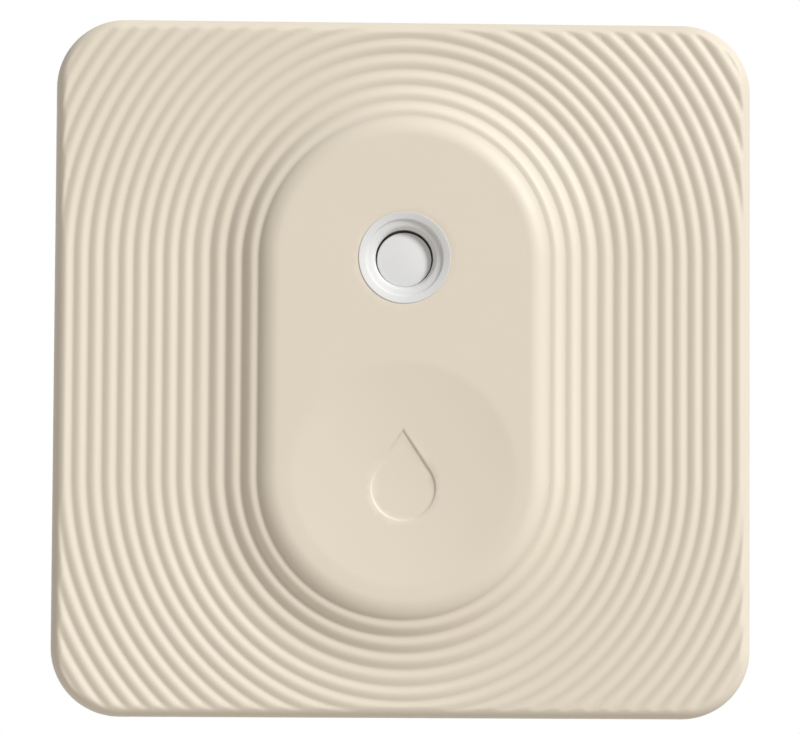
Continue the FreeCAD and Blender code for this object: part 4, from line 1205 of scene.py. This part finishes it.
# %% [markdown]
# ## Putting the finishes on
#
# Every solid names a slot for its finish in the part's record, and so does each new piece.
# Materials could be assigned by hand, but reading the slots keeps the looks and the record in step.

# %% Dress every piece
pieces = [(nodes[row["node"]], row["material_slot"]) for row in frame["record"]["subparts"]]
pieces += [(front_shell, "shell_plastic"), (light_ring, "ring_plastic")]
pieces += [(button_cap, "button_plastic"), (sprung_dome, "spring_metal")]
for piece, slot in pieces:
    piece.data.materials.clear()
    piece.data.materials.append(finishes[slot])
print("pieces dressed:", len(pieces))

# %% [markdown]
# ## The white surround
#
# The sensor is shown on plain white. A white backdrop lit by lamps would throw light back at it and
# flatten the ripples. So the world is pure white to the camera and in mirrors and glass, and much
# dimmer as a light. A light path node tells the two apart.

# %% World
AMBIENT = 0.38
WHITE = (1, 1, 1, 1)

scene = bpy.context.scene
scene.view_settings.view_transform = "Standard"
world = bpy.data.worlds.new("white_surround")
scene.world = world
world.use_nodes = True
world_tree = world.node_tree
world_tree.nodes.clear()


def larger(first, second):
    """The larger of two values."""
    node = world_tree.nodes.new("ShaderNodeMath")
    node.operation = "MAXIMUM"
    world_tree.links.new(first, node.inputs[0])
    world_tree.links.new(second, node.inputs[1])
    return node.outputs[0]


def glow(strength):
    """White light of a strength from all around."""
    node = world_tree.nodes.new("ShaderNodeBackground")
    node.inputs["Color"].default_value = WHITE
    node.inputs["Strength"].default_value = strength
    return node.outputs[0]


rays = world_tree.nodes.new("ShaderNodeLightPath").outputs
seen = larger(larger(rays["Is Camera Ray"], rays["Is Transmission Ray"]), rays["Is Glossy Ray"])
mix = world_tree.nodes.new("ShaderNodeMixShader")
output = world_tree.nodes.new("ShaderNodeOutputWorld")
for source, target in zip((seen, glow(AMBIENT), glow(1.0)), mix.inputs):
    world_tree.links.new(source, target)
world_tree.links.new(mix.outputs[0], output.inputs["Surface"])
print("nodes in the world:", len(world_tree.nodes))

# %% [markdown]
# ## The lamps
#
# Ripples are read by their bright and dark flanks. Light from the front would wash them out, and
# area lamps would fall off across the face. Distant lamps light every ripple alike, and a wide
# angle keeps their shadows soft. The key lamp comes from the upper right. A faint warm one fills
# the shadows from the lower left, as light thrown back by a room does, and a neutral one grazes
# the face from the top and brightens the upper and right edges.

# %% Three distant lamps
KEY_STRENGTH = 2.94
FILL_STRENGTH = 0.6
EDGE_STRENGTH = 0.3
NEUTRAL = (1.0, 1.0, 1.0)
WARM = (1.0, 0.84, 0.66)


def lamp(name, strength, colour, turn, rise, softness):
    """A distant lamp in the direction of a turn about Z and a rise above the face."""
    light = bpy.data.lights.new(name, "SUN")
    light.energy = strength
    light.color = colour
    light.angle = math.radians(softness)
    holder = bpy.data.objects.new(name, light)
    turn, rise = math.radians(turn), math.radians(rise)
    way = Vector((math.cos(turn), math.sin(turn), math.tan(rise)))
    holder.rotation_mode = "QUATERNION"
    holder.rotation_quaternion = way.to_track_quat("Z", "Y")
    scene.collection.objects.link(holder)


lamp("key_lamp", KEY_STRENGTH, NEUTRAL, turn=37, rise=35, softness=16)
lamp("fill_lamp", FILL_STRENGTH, WARM, turn=250, rise=25, softness=60)
lamp("edge_lamp", EDGE_STRENGTH, NEUTRAL, turn=65, rise=10, softness=30)
print("lamps:", len(bpy.data.lights))

# %% [markdown]
# ## The camera
#
# The camera looks almost straight down on the front, from a little left and below, and is rolled by
# a third of a degree. It could be placed by eye, but a ripple is only fifteen pixels wide, so its
# aim and lens are worked out: from these angles, from the pixels that a millimetre covers, and from
# where the middle of the case lies in the picture.

# %% Camera
CAMERA_LEFT = math.radians(1.9)
CAMERA_LOW = math.radians(3.45)
CAMERA_ROLL = math.radians(0.34)
CAMERA_DISTANCE = 200.0
AIM_LEVEL = 8.0
PIXELS_PER_MM = 18.73305
PICTURE_WIDTH = 800
PICTURE_HEIGHT = 734
PICTURE_CENTRE = (402.2, 369.7)
SENSOR_WIDTH = 36.0
NEAR_CLIP = 0.01

away = Vector((-math.sin(CAMERA_LEFT), -math.sin(CAMERA_LOW), 0.0))
away.z = math.sqrt(1 - away.x**2 - away.y**2)
right = (-away).cross(Vector((0, 1, 0))).normalized()
up = right.cross(-away)
rolled_right = right * math.cos(CAMERA_ROLL) + up * math.sin(CAMERA_ROLL)
rolled_up = up * math.cos(CAMERA_ROLL) - right * math.sin(CAMERA_ROLL)
camera_data = bpy.data.cameras.new("camera")
camera_data.sensor_width = SENSOR_WIDTH
camera_data.lens = PIXELS_PER_MM * CAMERA_DISTANCE * SENSOR_WIDTH / PICTURE_WIDTH
camera_data.shift_x = -(PICTURE_CENTRE[0] - PICTURE_WIDTH / 2) / PICTURE_WIDTH
camera_data.shift_y = (PICTURE_CENTRE[1] - PICTURE_HEIGHT / 2) / PICTURE_WIDTH
camera_data.clip_start = NEAR_CLIP
camera = bpy.data.objects.new("camera", camera_data)
aim = Matrix((rolled_right, rolled_up, away)).transposed().to_4x4()
spot = away * CAMERA_DISTANCE * MM + Vector((0, 0, AIM_LEVEL * MM))
camera.matrix_world = Matrix.Translation(spot) @ aim
scene.collection.objects.link(camera)
scene.camera = camera
print("lens:", round(camera_data.lens, 1), "mm")
